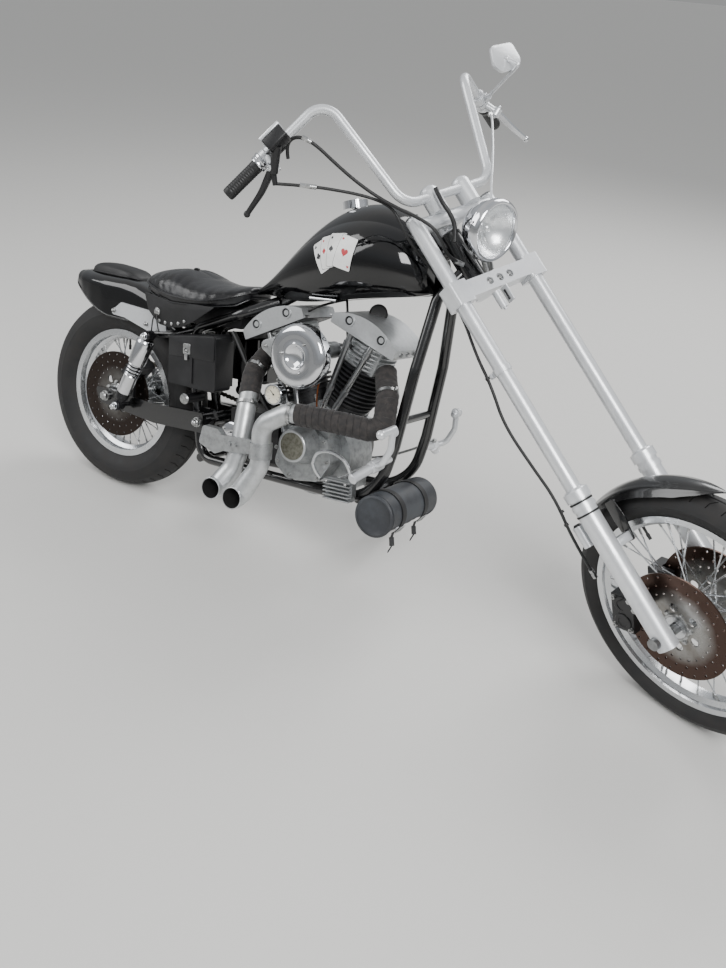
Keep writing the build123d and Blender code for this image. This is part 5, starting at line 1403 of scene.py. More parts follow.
    def timer_and_regulator(self):
        """The timer cover's rim and bare face, the finned regulator, its hose and the tank's strip."""
        bm = bmesh.new()
        place = around(TIMER + Vector((0, -40, 0)), RIGHT)
        lathe(bm, [(-3, 0), (-3, 46.6), (1.5, 46.6), (2.5, 45.5), (2.5, 41), (0.8, 40)], place, 56)
        piece("timer_rim", "chassis", "linished_aluminium", bm)
        bm = bmesh.new()
        lathe(bm, [(0.6, 0), (0.9, 40.5)], place, 48)
        piece("timer_face", "chassis", "stained_zinc", bm)
        bm = bmesh.new()
        block(bm, (88, 26, 62), move(114, -137, -65), 2)
        for i in range(6):
            block(bm, (88, 22, 4), move(114, -157, -92 + 11 * i), 1.2, 1)
        piece("regulator_fins", "chassis", "cast_aluminium", bm, ["regulator"])
        bm = bmesh.new()
        bar(bm, (-56, -98, 460), (32, -98, 460), 4.5, sides=12)
        piece("tank_strip", "chassis", "chrome_plate", bm)
        bm = bmesh.new()
        wire(bm, [(48, -150, -40), (30, -168, -10), (44, -178, 34), (86, -180, 52), (128, -172, 40),
                  (150, -156, 4), (152, -148, -30)], 5.2)
        piece("regulator_hose", "chassis", "rolled_aluminium", bm)


# plates on both side boxes: outline, plane on the right and on the left, thickness, and the radii of
# their corners and rims
BOX_LIDS = (
    ([(-516, 246), (-338, 246), (-338, 320), (-516, 304)], -173, 170, 3, 8, 1),
    ([(-432, 168), (-422, 168), (-422, 246), (-432, 246)], -174, 170, 4, 1, 0),
)
BOX_LATCHES = (
    ([(-458, 256), (-430, 256), (-430, 288), (-458, 288)], -175, 172, 4, 4, 0.8),
    ([(-450, 238), (-438, 238), (-438, 262), (-450, 262)], -178, 174, 5, 3, 0.8),
)
TAIL_LAMP_Z = 434
PEDAL_KNOBS = (4, 54)


class CHOPPER_OT_chassis_parts(bpy.types.Operator):
    """Make the boxes' lids and latches, the tail lamp, the pegs' ends and the control rods"""
    bl_idname = "chopper.chassis_parts"
    bl_label = "Chassis parts"

    def execute(self, context):
        black, bright = bmesh.new(), bmesh.new()
        for side in (-1, 1):
            for target, plates in ((black, BOX_LIDS), (bright, BOX_LATCHES)):
                for outline, right, left, thick, corner, rim in plates:
                    plate(target, outline, across(left if side > 0 else right), thick, corner, rim)
            lathe(bright, [(0, 0), (0, 16), (3, 17), (7, 14), (8, 0)],
                  around((-447, side * 174, 118), (0, side, 0)), 28)
        # a black block between the side boxes under the seat, where only shade shows through the frame:
        # painted shade
        block(black, (230, 110, 60), move(-445, 0, 368), 4)
        piece("box_lids_and_shade_block", "chassis", "powder_coat", black)
        piece("box_latches", "chassis", "zinc_plate", bright)

        bm = bmesh.new()
        block(bm, (18, 58, 36), move(-1014, 0, TAIL_LAMP_Z), 4)
        piece("tail_lamp_body", "chassis", "chrome_plate", bm, ["tail_light"])
        bm = bmesh.new()
        block(bm, (10, 52, 30), move(-1027, 0, TAIL_LAMP_Z), 4)
        for z in (-8, 0, 8):
            block(bm, (2, 46, 1.6), move(-1032, 0, TAIL_LAMP_Z + z), 0.5, 1)
        piece("tail_lamp_lens", "chassis", "red_lens", bm)

        bright = bmesh.new()
        for side in (-1, 1):
            way = Vector((-27, side * 78, -30)).normalized()
            start = Vector((246, side * 178, 38)) + way * 14
            lathe(bright, [(72, 0), (72, 14.5), (76, 15), (79, 12), (80, 0)], around(start, way), 24)
            lathe(bright, [(-2, 13), (-2, 17), (8, 17), (10, 13)], around(start, way), 24, closed=True)
            at, tip = Vector((301, side * 193, 142)), Vector((287, side * 252, 139))
            way = (tip - at).normalized()
            for along in PEDAL_KNOBS:
                ball(bright, at + way * along, 13.5, 16)
            bolt(bright, (248, side * 118, 44), (0, side, 0), 8, "hex")
        piece("peg_ends", "chassis", "silver_lacquer", bright)

        # the rods of the rear brake and the gears, each with a ball at its pedal
        bright = bmesh.new()
        wire(bright, [(262, -150, 60), (180, -140, 10), (60, -128, -60), (-60, -122, -72)], 4)
        wire(bright, [(262, 150, 60), (180, 146, 10), (20, 160, -48), (-180, 158, -60)], 4)
        for side in (-1, 1):
            ball(bright, (262, side * 150, 60), 7, 12)
        piece("control_rods", "chassis", "zinc_plate", bright)
        return {"FINISHED"}


# Rear fender

# its ends, the heights of its top and of its edge, half its width and the radius of its shoulders
GUARD_SPAN = (-1056, -566)
GUARD_TOP = ((-1056, 450), (-1051, 459), (-1040, 466), (-1000, 468), (-900, 459), (-800, 453),
             (-745, 443), (-690, 424), (-610, 376), (-566, 330))
GUARD_UNDER = ((-1056, 442), (-1040, 424), (-1012, 406), (-962, 371), (-915, 345), (-866, 328),
               (-690, 318), (-592, 300), (-566, 296))
GUARD_HALF = ((-1056, 26), (-1050, 46), (-1036, 60), (-1000, 75), (-950, 86), (-890, 92), (-566, 92))
GUARD_ROUND = 38.0


class CHOPPER_OT_rear_fender(bpy.types.Operator):
    """Make the rear fender with its rolled shoulders, rounded tail and beaded edge"""
    bl_idname = "chopper.rear_fender"
    bl_label = "Rear fender"

    def execute(self, context):
        rings = []
        for share in evenly(0, 1, 64):
            # the rings lie closer together at the tail
            x = GUARD_SPAN[0] + (GUARD_SPAN[1] - GUARD_SPAN[0]) * share ** 1.25
            top, under, half = [smoothed(table, x) for table in (GUARD_TOP, GUARD_UNDER, GUARD_HALF)]
            turn_in = min(GUARD_ROUND, (top - under) * 0.7, half * 0.8)
            line = [(half, under), (half, under + (top - turn_in - under) * 0.5)]
            for step in range(9):
                a = radians(90 * step / 8)
                line.append((half - turn_in + turn_in * cos(a), top - turn_in + turn_in * sin(a)))
            line += [((half - turn_in) * 0.5, top + 2), (0, top + 3)]
            line += [(-y, z) for y, z in line[-2::-1]]
            rings.append([(x, y, z) for y, z in line])
        bm = bent_sheet(rings, capped=True)
        for side in (-1, 1):
            edge = [(x, side * smoothed(GUARD_HALF, x), smoothed(GUARD_UNDER, x) + 1)
                    for x in range(-1050, -570, 12)]
            wire(bm, edge, 3)
        piece("rear_fender_skin", "chassis", "stoved_enamel", bm, ["rear_fender"], sharp=50)
        return {"FINISHED"}


# Fuel tank

class ChopperCards(bpy.types.PropertyGroup):
    wide: bpy.props.FloatProperty(name="Width", description="Width of a card, mm", default=58.0)
    high: bpy.props.FloatProperty(name="Height", description="Height of a card, mm", default=88.0)


# each card's middle and its turn, seen from the right with x ahead and z up
CARDS = ((3, 582, 31), (22, 592, 15), (47, 598, 3), (80, 592, -13))
# the club's three lobes: their middles and their radius, for a pip of size 1
CLUB_LOBES = (Vector((0, 0.5)), Vector((0.52, -0.3)), Vector((-0.52, -0.3)))
CLUB_RADIUS = 0.5


def heart(size):
    """A heart's outline."""
    line = []
    for i in range(24):
        t = tau * i / 24
        line.append((size * sin(t) ** 3,
                     size / 16 * (13 * cos(t) - 5 * cos(2 * t) - 2 * cos(3 * t) - cos(4 * t))))
    return line


def pip(kind, size):
    """A suit's outline about its middle."""
    if kind == "heart":
        return heart(size)
    if kind == "diamond":
        return [(0, -size * 1.1), (size * 0.8, 0), (0, size * 1.1), (-size * 0.8, 0)]
    if kind == "spade":
        body = [(x, -z) for x, z in heart(size)]
        stem = [(size * x, size * z) for x, z in ((-0.1, -0.5), (-0.4, -1.1), (0.4, -1.1), (0.1, -0.5))]
        return body[1:] + stem
    line = []
    for i in range(48):
        way = Vector((sin(tau * i / 48), cos(tau * i / 48)))
        reach = 0.15
        for lobe in CLUB_LOBES:
            along = way.dot(lobe)
            left = CLUB_RADIUS ** 2 - lobe.length_squared + along ** 2
            if along > 0 and left > 0:
                reach = max(reach, along + sqrt(left))
        if way.y < -0.96:
            reach = -1.1 / way.y
        line.append((size * reach * way.x, size * reach * way.y))
    return line


class CHOPPER_OT_cards(bpy.types.Operator):
    """Lay the four vinyl cards on the tank's right side"""
    bl_idname = "chopper.cards"
    bl_label = "Cards"

    def execute(self, context):
        look = context.scene.chopper_cards
        tank = frame["nodes"]["fuel_tank"]
        back = CHASSIS.inverted() @ tank.matrix_world
        tree = BVHTree.FromPolygons([back @ v.co for v in tank.data.vertices],
                                    [p.vertices[:] for p in tank.data.polygons])
        inks = {"white_vinyl": bmesh.new(), "red_ink": bmesh.new(), "black_ink": bmesh.new()}

        def lay(bm, corners, place, lift, cuts):
            """Cut a flat outline fine, drop it onto the tank and lift it off by a hair."""
            part = bmesh.new()
            part.faces.new([part.verts.new((x, 0, z)) for x, z in corners])
            box = [max(abs(c[i]) for c in corners) for i in (0, 1)]
            for axis, reach in ((Vector((1, 0, 0)), box[0]), (Vector((0, 0, 1)), box[1])):
                for i in range(1, cuts):
                    at = axis * (reach * (2 * i / cuts - 1))
                    bmesh.ops.bisect_plane(part, geom=part.verts[:] + part.edges[:] + part.faces[:],
                                           plane_co=at, plane_no=axis, dist=0.001)
            part.transform(place)
            for vert in part.verts:
                hit = tree.ray_cast(Vector((vert.co.x, -400, vert.co.z)), Vector(LEFT))[0]
                if hit is None:
                    raise RuntimeError("a card reaches past the tank")
                vert.co = hit - Vector((0, lift, 0))
            merge(bm, part)

        w, h = look.wide / 2, look.high / 2
        corner = 4
        sheet = [(-w + corner, -h), (w - corner, -h), (w - 1, -h + 1), (w, -h + corner),
                 (w, h - corner), (w - 1, h - 1), (w - corner, h), (-w + corner, h),
                 (-w + 1, h - 1), (-w, h - corner), (-w, -h + corner), (-w + 1, -h + 1)]
        edge = [(x * 1.035, z * 1.022) for x, z in sheet]
        suits = ("club", "diamond", "spade", "heart")
        for i, ((x, z, turn), suit) in enumerate(zip(CARDS, suits)):
            place = move(x, 0, z) @ rotate(-turn, "Y")
            lift = 0.5 + 0.45 * i
            lay(inks["black_ink"], edge, place, lift, 10)
            lay(inks["white_vinyl"], sheet, place, lift + 0.15, 10)
            ink = inks["red_ink" if suit in ("heart", "diamond") else "black_ink"]
            # the hindmost cards show only their left edge, so their large pips sit there
            large = (0, 1, 12) if suit == "heart" else (-w + 13, 4, 8)
            for px, pz, size in (large, (-w + 8, h - 11, 4), (w - 8, -h + 11, 4)):
                spot = place @ move(px, 0, pz)
                lay(ink, pip(suit, size), spot, lift + 0.3, 3)
        for name, bm in inks.items():
            piece(f"cards_{name}", "chassis", name, bm)
        return {"FINISHED"}


# Fork

# each cord's radius, finish and route
CORDS = {
    "throttle_cable": (4.5, "moulded_rubber", [
        (-28, -352, 1482), (-8, -354, 1500), (18, -346, 1506), (34, -328, 1492), (36, -304, 1460),
        (22, -272, 1410), (12, -236, 1352), (14, -202, 1292), (28, -172, 1238), (48, -150, 1190),
        (52, -130, 1153), (38, -118, 1124), (16, -106, 1098), (-8, -74, 1078), (-12, -52, 1060)]),
    "front_brake_hose": (4.0, "moulded_rubber", [
        (-61, -402, 1444), (-45, -350, 1414), (-25, -290, 1372), (-2, -215, 1312), (8, -174, 1262),
        (-4, -168, 1217), (-28, -154, 1175), (-54, -120, 1121), (-56, -104, 1040), (-48, -112, 940),
        (-36, -150, 830), (-26, -168, 740), (-58, -170, 644), (-49, -168, 512), (-34, -170, 416),
        (-70, -160, 300), (-128, -110, 190)]),
    "loom": (6.0, "moulded_rubber", [
        (66, -70, 1248), (68, -78, 1208), (62, -68, 1172), (46, -62, 1138), (30, -76, 1110)]),
    "clutch_cable": (3.5, "silver_lacquer", [
        (-50, 372, 1476), (-12, 340, 1458), (36, 240, 1362), (58, 165, 1280), (60, 110, 1215),
        (58, 74, 1160), (40, 70, 1110), (-2, 66, 1088)]),
}


class CHOPPER_OT_cords(bpy.types.Operator):
    """Lay the four cords along the same points as the solids'"""
    bl_idname = "chopper.cords"
    bl_label = "Cables and hoses"

    def execute(self, context):
        for name, (radius, surface, route) in CORDS.items():
            cord = smooth_curve(f"{name}_cord", [FORK @ Vector(at) for at in route], radius * MM, 10, 16)
            ridden(cord, "fork", surface, [name])
        bm = bmesh.new()
        for name, first, second, length, size in (
                ("throttle_cable", 3, 4, 26, 6.5), ("throttle_cable", 14, 13, 26, 7),
                ("front_brake_hose", 1, 2, 42, 7), ("front_brake_hose", 16, 15, 30, 7.5),
                ("clutch_cable", 0, 1, 30, 6.5), ("clutch_cable", 7, 6, 24, 6)):
            route = CORDS[name][2]
            start = Vector(route[first])
            way = (Vector(route[second]) - start).normalized()
            bar(bm, start, start + way * length * 0.6, size, sides=6)
            bar(bm, start + way * length * 0.6, start + way * length, size * 0.85, sides=14)
        piece("cord_ferrules", "fork", "zinc_plate", bm)

        bm = bmesh.new()
        for z in (382, 348):
            lathe(bm, [(-2.5, 28), (-2.5, 30.4), (2.5, 30.4), (2.5, 28)], move(0, -LEG_Y, z), 32,
                  closed=True)
        for x, y, z in ((-29, -163, 763), (-42, -167, 382), (-52, -167, 348)):
            lathe(bm, [(-3.5, 4.2), (-3.5, 6.2), (3.5, 6.2), (3.5, 4.2)], move(x, y, z), 16, closed=True)
        piece("hose_ties", "fork", "moulded_rubber", bm)
        bm = bmesh.new()
        lathe(bm, [(-8, 20.8), (-8, 24.5), (8, 24.5), (8, 20.8)], move(0, -LEG_Y, 763), 32, closed=True)
        block(bm, (16, 9, 15), move(-26, -146, 763) @ rotate(40, "Z"), 1.5)
        bolt(bm, (-26, -150, 763), (-0.7, -0.7, 0), 4.5, "hex")
        piece("hose_clamp", "fork", "silver_lacquer", bm)
        return {"FINISHED"}


# the left end of the handlebar and the bend before it
BAR_CORNER = Vector((67, 235, 1557))
BAR_END = Vector((-149, 482, 1498))
# where the clamps and the switch housings sit, measured in from the bar's end
CLAMP_AT = 140
SWITCH_AT = 174


def on_bar(side, along):
    """A frame on the handlebar with Z inward along it, so many millimetres from its end."""
    end, corner = [Vector((p.x, side * p.y, p.z)) for p in (BAR_END, BAR_CORNER)]
    way = (corner - end).normalized()
    return around(end + way * along, way)


class CHOPPER_OT_grips(bpy.types.Operator):
    """Make the two ribbed grips and the throttle's drum"""
    bl_idname = "chopper.grips"
    bl_label = "Grips"

    def execute(self, context):
        for side, label in ((-1, "right"), (1, "left")):
            bm = bmesh.new()
            profile = [(-4, 0), (-4, 12), (-2.6, 15.6), (2, 17), (10, 17.2)]
            for i in range(12):
                start = 13 + 6.8 * i
                profile += [(start, 17.3), (start + 1.0, 16.6), (start + 2.2, 16.6), (start + 3.2, 17.3)]
            profile += [(96, 17.4), (104, 17.6), (108, 20), (110, 21.3), (114, 21.4), (116, 20),
                        (116.5, 13)]
            lathe(bm, profile, on_bar(side, 0), 32)
            piece(f"{label}_grip", "fork", "moulded_rubber", bm, ["grips"], sharp=50)
        bm = bmesh.new()
        lathe(bm, [(104, 18), (104, 22.5), (107, 23.5), (110, 22.5), (114, 22.5), (117, 24.5),
                   (122, 24.5), (123.5, 22), (123.5, 13)], on_bar(-1, 0), 32)
        lathe(bm, [(118, 13), (118, 19), (123.5, 19), (123.5, 13)], on_bar(1, 0), 32)
        piece("throttle_drum", "fork", "chrome_plate", bm)
        return {"FINISHED"}


class ChopperLevers(bpy.types.PropertyGroup):
    root: bpy.props.FloatProperty(name="Root", description="Half thickness of a lever at its pivot, mm",
                                  default=10.5)
    waist: bpy.props.FloatProperty(name="Waist",
                                   description="Half thickness of a lever near its ball, mm", default=7.0)


# each lever's pivot and tip, right and left
LEVERS = {-1: ((-35, -400, 1474), (-186, -440, 1452)), 1: ((-48, 400, 1477), (-94, 500, 1395))}


class CHOPPER_OT_hand_controls(bpy.types.Operator):
    """Make the clamps, levers, master cylinder and switch housing"""
    bl_idname = "chopper.hand_controls"
    bl_label = "Hand controls"

    def execute(self, context):
        look = context.scene.chopper_levers
        silver, black, bright = bmesh.new(), bmesh.new(), bmesh.new()
        for side in (-1, 1):
            start, tip = [Vector(p) for p in LEVERS[side]]
            middle = start.lerp(tip, 0.5) + (start - Vector((-60, side * 420, 1560))).normalized() * 7
            target = black if side < 0 else bright
            wire(target, [start, start.lerp(middle, 0.55), middle, middle.lerp(tip, 0.5), tip], look.root,
                 radii=[look.root, look.root * 0.92, 8.6, look.waist + 0.6, look.waist])
            ball(target, tip, 9, 16)
            shell = on_bar(side, CLAMP_AT)
            for low, high, radius in ((-16, -1, 21.7), (1, 16, 20.6)):
                lathe(silver, [(low, 12.9), (low, radius - 1), (low + 1, radius), (high - 1, radius),
                               (high, radius - 1), (high, 12.9)], shell, 28, closed=True)
            base = shell.translation
            reach = start - base
            bar(silver, base + reach.normalized() * 16, start, 12.5, 10, 16)
            hinge = reach.cross(tip - start).normalized()
            bar(silver, start - hinge * 11, start + hinge * 11, 13, sides=24)
            bolt(bright, start + hinge * 11, hinge, 6, "dome")
            bolt(bright, start - hinge * 11, -hinge, 5.5, "hex")
            for along in (-8, 9):
                spot = shell @ Vector((0, 0, along))
                out = (shell.to_3x3() @ Vector((0, 0, 1))).cross(reach).normalized()
                bar(silver, spot + out * 14, spot + out * 25, 6.5, sides=12)
                bolt(bright, spot + out * 24, out, 4, "socket")
        # the master cylinder lies along the bar, its lid square to it
        along = (on_bar(-1, 0).to_3x3() @ Vector((0, 0, 1))).normalized()
        out = (Vector((0, 0, 1)) - along * along.z).normalized()
        tank = Matrix((along, out.cross(along), out)).transposed().to_4x4()
        tank.translation = (26, -394, 1508)
        block(black, (58, 44, 34), tank @ move(0, 0, -4), 5, 3)
        block(silver, (62, 48, 9), tank @ move(0, 0, 16), 3, 2)
        for x in (-22, 22):
            bolt(bright, tank @ Vector((x, 0, 18)), tank.to_3x3() @ Vector((0, 0, 1)), 3.6, "socket")
        bar(black, (22, -398, 1494), (-40, -402, 1462), 12.5, 10.5, 18)
        bar(black, (-35, -400, 1474), (-63, -402, 1441), 8, 6.5, 14)
        bar(black, (-6, -384, 1500), on_bar(-1, CLAMP_AT).translation, 10, sides=14)
        # switch housings inboard of both clamps
        for side in (-1, 1):
            shell = on_bar(side, SWITCH_AT)
            target = black if side < 0 else silver
            lathe(target, [(-16, 12.9), (-16, 18), (-14, 20), (12, 20), (15, 17), (15, 12.9)], shell, 28,
                  closed=True)
            block(target, (18, 14, 22), shell @ move(0, 20, 0), 3)
            ball(black, shell @ Vector((0, 28, 4)), 5, 10)
        piece("control_clamps", "fork", "silver_lacquer", silver, ["hand_controls"])
        piece("control_castings", "fork", "powder_coat", black)
        piece("control_screws", "fork", "chrome_plate", bright)
        return {"FINISHED"}


class CHOPPER_OT_mirror(bpy.types.Operator):
    """Make the mirror's blunt five-sided shell, its glass and its bent stem"""
    bl_idname = "chopper.mirror"
    bl_label = "Mirror"

    def execute(self, context):
        normal = Vector((-1, 0, 0.25)).normalized()
        wide = Vector(LEFT)
        up = normal.cross(wide)
        head = Matrix((wide, up, normal)).transposed().to_4x4()
        head.translation = (120, 345, 1529)
        outline = [(-54, 14.8), (-32.4, 37), (33.5, 37), (54, 11.1), (40.5, -37), (-40.5, -37)]
        bm = bmesh.new()
        part = bmesh.new()
        plate(part, outline, move(0, 0, -6.5), 11, 10, 2)
        for vert in part.verts:
            # the back of the shell is domed away from the glass
            if vert.co.z < -6:
                vert.co.x *= 0.9
                vert.co.y *= 0.88
        merge(bm, part, head)
        stem = [Vector(p) for p in ((-26, 371, 1514), (60, 358, 1499), (144, 345, 1485), (138, 345, 1500),
                                    (126, 345, 1522))]
        wire(bm, [stem[0], stem[1], stem[2] + Vector((-10, 1, -2)), stem[2] + Vector((3, 0, -1)), stem[3],
                  stem[4]], 5)
        way = (stem[1] - stem[0]).normalized()
        bar(bm, stem[0] - way * 6, stem[0] + way * 12, 9.5, sides=6)
        ball(bm, stem[4], 8, 14)
        piece("mirror_shell", "fork", "silver_lacquer", bm, ["mirror"])
        bm = bmesh.new()
        plate(bm, [(x * 0.93, y * 0.92) for x, y in outline], head @ move(0, 0, 3.8), 1.4, 9, 0.4)
        piece("mirror_glass", "fork", "mirror_glass", bm)
        return {"FINISHED"}


# the headlight's own frame: Z out of the glass
LAMP = move(96, 0, 1075) @ rotate(50, "Y") @ rotate(90, "Y")


class CHOPPER_OT_headlight(bpy.types.Operator):
    """Make the lamp's shell, rim, reflector, bulb, glass and bracket"""
    bl_idname = "chopper.headlight"
    bl_label = "Headlight"

    def execute(self, context):
        bm = bmesh.new()
        shell = [(-92, 0), (-90, 16), (-84, 33), (-74, 48), (-58, 61), (-40, 69.5), (-24, 74.5),
                 (-16, 76)]
        rim = [(-16, 76), (-17, 79.4), (-8, 80), (-2, 79.5), (4, 76.6), (6, 73.2), (5, 69.6), (2, 67),
               (-3, 66), (-5, 66)]
        lathe(bm, eased(shell, 3) + rim[1:], LAMP, 72)
        lathe(bm, [(-20, 76.5), (-20, 78.6), (-17, 78.6)], LAMP, 72)
        piece("headlight_shell", "fork", "chrome_plate", bm, ["headlight"], sharp=40)
        bm = bmesh.new()
        dish = [(-5, 66.5), (-8, 66), (-22, 58), (-36, 44), (-46, 28), (-50, 14), (-50, 0)]
        lathe(bm, eased(dish, 3), LAMP, 56)
        ball(bm, LAMP @ Vector((0, 0, -34)), 13, 20)
        lathe(bm, [(-49, 12), (-34, 9), (-34, 0)], LAMP, 24)
        piece("lamp_reflector", "fork", "silvered_reflector", bm, sharp=60)
        bm = bmesh.new()
        lathe(bm, [(-1.5, 66.6), (0.9, 61), (3.2, 48), (5.2, 30), (6.2, 14), (6.4, 0)], LAMP, 56)
        piece("lamp_glass", "fork", "lamp_glass", bm, ["headlight_lens"], sharp=60)
        bm = bmesh.new()
        foot = LAMP @ Vector((0, 0, -70))
        for side in (-1, 1):
            plate(bm, [(-9, 1007), (9, 1007), (foot.x + 16, foot.z + 2), (foot.x + 4, foot.z + 18),
                       (foot.x - 10, foot.z + 2)], across(side * 9 - 2), 4, 0, 0.8)
        block(bm, (26, 34, 6), move(0, 0, 1009), 1.5)
        bar(bm, (foot.x, -16, foot.z), (foot.x, 16, foot.z), 6, sides=14)
        bolt(bm, (foot.x, -16, foot.z), RIGHT, 8, "hex")
        bolt(bm, (foot.x, 16, foot.z), LEFT, 8, "dome")
        piece("lamp_bracket", "fork", "zinc_plate", bm)
        return {"FINISHED"}


# the guard's outer radius, its ends in degrees from straight up, and half its width by degrees
FENDER_RADIUS = 367.4
FENDER_SPAN = (-16, 49)
FENDER_WIDE = ((-16, 50), (-12, 56), (22, 56), (32, 50), (40, 34), (46, 14), (49, 3))


class CHOPPER_OT_front_fender(bpy.types.Operator):
    """Make the short front guard with its beak, its raised edges and its stays"""
    bl_idname = "chopper.front_fender"
    bl_label = "Front fender"

    def execute(self, context):
        rings = []
        for degrees in evenly(*FENDER_SPAN, 52):
            turn, half = radians(degrees), between(FENDER_WIDE, degrees)
            lift = 7 * max(0.0, (degrees - 30) / 19) ** 2
            ring = []
            for v in evenly(-1, 1, 24):
                fall = 30 * abs(v) ** 2.3 * (half / 56) ** 1.3
                ridge = 3.5 * exp(-((abs(v) - 0.72) / 0.09) ** 2) * min(1.0, half / 56)
                r = FENDER_RADIUS + lift - fall + ridge
                ring.append((r * sin(turn), v * half, r * cos(turn)))
            rings.append(ring)
        bm = bent_sheet(rings)
        for side in (-1, 1):
            plate(bm, [(-12, 234), (14, 234), (26, 300), (22, 346), (-14, 346), (-16, 300)],
                  across(side * 57 - 2), 4, 5, 0.8)
        piece("front_fender_skin", "fork", "frame_enamel", bm, ["front_fender"], sharp=50)
        bm = bmesh.new()
        for side in (-1, 1):
            block(bm, (24, 46, 24), move(0, side * 82, 249), 2)
        piece("front_fender_brackets", "fork", "silver_lacquer", bm)
        return {"FINISHED"}


class CHOPPER_OT_fork_parts(bpy.types.Operator):
    """Make the trees' screws, leg caps, brackets under the lower tree, caliper and fender bolts"""
    bl_idname = "chopper.fork_parts"
    bl_label = "Fork parts"

    def execute(self, context):
        bright, black, silver = bmesh.new(), bmesh.new(), bmesh.new()
        for y in (-36, 0, 36):
            bolt(bright, (20.4, y, 983), (1, 0, 0), 6, "hex")
            lathe(bright, [(0, 9.2), (1.4, 10.6), (2.4, 9.4)], around((26, y, 983), (1, 0, 0)), 24)
        for side in (-1, 1):
            y = side * LEG_Y
            lathe(bright, [(1222, 0), (1222, 8), (1220.5, 9), (1220.5, 17), (1218, 19)],
                  move(0, y, 0), 32)
            lathe(silver, [(405, 29), (412, 29), (416, 26), (418, 21.2), (414, 21)], move(0, y, 0), 32)
            for z in (-16, -22):
                lathe(silver, [(-1.2, 27.6), (-1.2, 28.8), (1.2, 28.8), (1.2, 27.6)], move(0, y, z), 32,
                      closed=True)
            # the caliper's bolts, its two pots and the hose's banjo
            place = move(-112, side * 76, 78) @ rotate(35, "Y")
            for z in (-26, 26):
                spot = place @ Vector((0, side * 31, z))
                lathe(black, [(0, 25), (2, 25), (3.4, 23), (3.4, 15), (1.6, 14), (1.6, 0)],
                      around(spot, (0, side, 0)), 32)
                bolt(bright, place @ Vector((-24, side * 31, z * 1.6)), (0, side, 0), 6, "socket")
                bolt(bright, place @ Vector((24, side * 31, z * 1.6)), (0, side, 0), 6, "socket")
            for z in (80, 106):
                bolt(bright, (-50, side * 121, z), (0, side, 0), 7, "hex")
            for x, z in ((0, 244), (0, 256)):
                bolt(bright, (x, side * 60.5, z), (0, side, 0), 5.5, "hex")
        bar(bright, (-STEM_BACK, 0, 1205), (-STEM_BACK, 0, 1216), 21, 19, 6)
        bar(bright, (-STEM_BACK, 0, 1214), (-STEM_BACK, 0, 1222), 12, 10, 24)
        # the small round can and the slotted bracket under the lower tree, and the can behind the slider
        bar(silver, (20, -34, 905), (20, -34, 952), 11, sides=24)
        bar(silver, (20, -34, 899), (20, -34, 906), 5, sides=12)
        plate(silver, [(8, 912), (34, 912), (34, 958), (8, 958)], across(-4), 4, 3, 0.8)
        # the bracket's slot is a black bar on its face: painted shade of the opening
        block(black, (4, 6, 30), move(21, -4.5, 934), 1)
        bar(silver, (-50, -140, 272), (-50, -140, 330), 14, sides=28)
        bar(black, (-50, -140, 330), (-50, -140, 336), 12, 8, 24)
        piece("fork_screws", "fork", "zinc_plate", bright)
        piece("fork_blacks", "fork", "powder_coat", black)
        piece("fork_fittings", "fork", "silver_lacquer", silver)
        return {"FINISHED"}


# Stage

class ChopperStage(bpy.types.PropertyGroup):
    floor_colour: bpy.props.StringProperty(name="Floor", description="Floor colour as sRGB hex",
                                           default="#C9C8C5")
    floor_half: bpy.props.FloatProperty(name="Floor half size", description="Half the floor's side",
                                        default=250.0, unit="LENGTH")
    lens: bpy.props.FloatProperty(name="Lens", description="Focal length on a 36 mm sensor",
                                  default=32.25, unit="CAMERA")


# place in metres, power in watts and side in metres of each soft light; all face the engine
SOFTBOXES = (((3.4, -3.2, 4.4), 330, 2.6), ((-3.6, -2.6, 3.4), 130, 3.0), ((0.5, 3.8, 4.2), 200, 3.2))
LIT_AT = Vector((0, -0.1, 0.6))
# the sky's colours by how high one looks, from straight down to straight up
SKY = ((0.0, "#B9B8B5"), (0.5, "#B4B5B5"), (0.56, "#B8BABC"), (0.7, "#DFE3E7"), (0.86, "#FFFFFF"),
       (1.0, "#EEF1F5"))
SKY_STRENGTH = 0.7
# the camera's turn to the left, its look down and its roll, as fitted to the photo
YAW, PITCH, ROLL = radians(29.8), radians(30.81), radians(-5.23)


def studio():
    """A world that shades from a grey horizon to a bright ceiling."""
    world = bpy.data.worlds.new("studio")
    world.use_nodes = True
    way = add(world, "ShaderNodeTexCoord").outputs["Generated"]
    parts = add(world, "ShaderNodeSeparateXYZ", links={"Vector": way})
    height = add(world, "ShaderNodeMapRange", {"From Min": -1.0, "From Max": 1.0},
                 {"Value": parts.outputs["Z"]})
    ramp = add(world, "ShaderNodeValToRGB", links={"Fac": height.outputs["Result"]})
    marks = ramp.color_ramp.elements
    for i, (at, colour) in enumerate(SKY):
        mark = marks[i] if i < 2 else marks.new(at)
        mark.position = at
        mark.color = linear(colour)
    sky = world.node_tree.nodes["Background"]
    world.node_tree.links.new(ramp.outputs["Color"], sky.inputs["Color"])
    sky.inputs["Strength"].default_value = SKY_STRENGTH
    return world


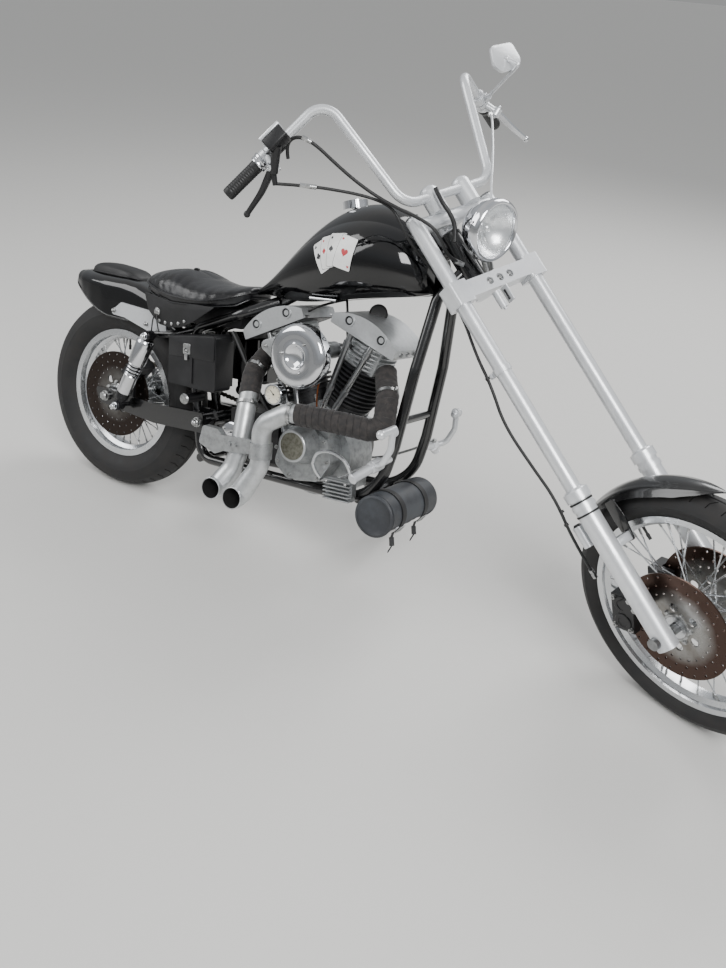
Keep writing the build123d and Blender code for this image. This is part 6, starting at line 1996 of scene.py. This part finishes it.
class CHOPPER_OT_stage(bpy.types.Operator):
    """Lay the floor, hang the lights and set the camera"""
    bl_idname = "chopper.stage"
    bl_label = "Stage"

    def execute(self, context):
        sizes = context.scene.chopper_stage
        bm = bmesh.new()
        bmesh.ops.create_grid(bm, x_segments=1, y_segments=1, size=sizes.floor_half)
        mesh = bpy.data.meshes.new("floor")
        bm.to_mesh(mesh)
        bm.free()
        floor = bpy.data.objects.new("floor", mesh)
        mesh.materials.append(finish("plain_floor", sizes.floor_colour, 0.9))
        context.scene.collection.objects.link(floor)

        context.scene.world = studio()
        for place, watts, size in SOFTBOXES:
            light = bpy.data.objects.new("softbox", bpy.data.lights.new("softbox", "AREA"))
            light.data.energy = watts
            light.data.size = size
            light.location = place
            light.rotation_euler = (LIT_AT - Vector(place)).to_track_quat("-Z", "Y").to_euler()
            context.scene.collection.objects.link(light)

        ahead = Vector((-sin(YAW) * cos(PITCH), cos(YAW) * cos(PITCH), -sin(PITCH)))
        turn = Matrix.Rotation(ROLL, 3, ahead)
        level = Vector((cos(YAW), sin(YAW), 0))
        right, up = turn @ level, turn @ level.cross(ahead)
        camera = bpy.data.objects.new("camera", bpy.data.cameras.new("camera"))
        camera.data.lens = sizes.lens
        camera.matrix_world = Matrix((right, up, -ahead)).transposed().to_4x4()
        rear_axle = Vector(JOINTS["rear_wheel_spin"]["pos_m"])
        camera.matrix_world.translation = rear_axle + CAMERA_FROM_REAR_AXLE
        context.scene.collection.objects.link(camera)
        context.scene.camera = camera
        return {"FINISHED"}


# Add-on

class CHOPPER_PT_panel(bpy.types.Panel):
    """The chopper's operators in the sidebar"""
    bl_label = "Chopper motorcycle"
    bl_idname = "CHOPPER_PT_panel"
    bl_space_type = "VIEW_3D"
    bl_region_type = "UI"
    bl_category = "Chopper"

    def draw(self, context):
        for operator in OPERATORS:
            self.layout.operator(operator.bl_idname)


OPERATORS = [
    CHOPPER_OT_stage, CHOPPER_OT_solids, CHOPPER_OT_tyres, CHOPPER_OT_wheel_parts, CHOPPER_OT_chain,
    CHOPPER_OT_shocks, CHOPPER_OT_seat, CHOPPER_OT_pad, CHOPPER_OT_tool_roll, CHOPPER_OT_wrap,
    CHOPPER_OT_air_cleaner, CHOPPER_OT_gauge, CHOPPER_OT_engine_parts, CHOPPER_OT_chassis_parts,
    CHOPPER_OT_rear_fender, CHOPPER_OT_cards, CHOPPER_OT_cords, CHOPPER_OT_grips,
    CHOPPER_OT_hand_controls, CHOPPER_OT_mirror, CHOPPER_OT_headlight, CHOPPER_OT_front_fender,
    CHOPPER_OT_fork_parts,
]
GROUPS = {
    "chopper_stage": ChopperStage, "chopper_tyres": ChopperTyres, "chopper_chain": ChopperChain,
    "chopper_shocks": ChopperShocks, "chopper_seat": ChopperSeat, "chopper_tool_roll": ChopperToolRoll,
    "chopper_wrap": ChopperWrap, "chopper_cards": ChopperCards, "chopper_levers": ChopperLevers,
}


def register():
    for kind in [*GROUPS.values(), *OPERATORS, CHOPPER_PT_panel]:
        bpy.utils.register_class(kind)
    for name, group in GROUPS.items():
        setattr(bpy.types.Scene, name, bpy.props.PointerProperty(type=group))


def unregister():
    for name in GROUPS:
        delattr(bpy.types.Scene, name)
    for kind in reversed([*GROUPS.values(), *OPERATORS, CHOPPER_PT_panel]):
        bpy.utils.unregister_class(kind)


def main():
    register()
    for operator in OPERATORS:
        group, name = operator.bl_idname.split(".")
        getattr(getattr(bpy.ops, group), name)()


if __name__ == "__main__":
    main()
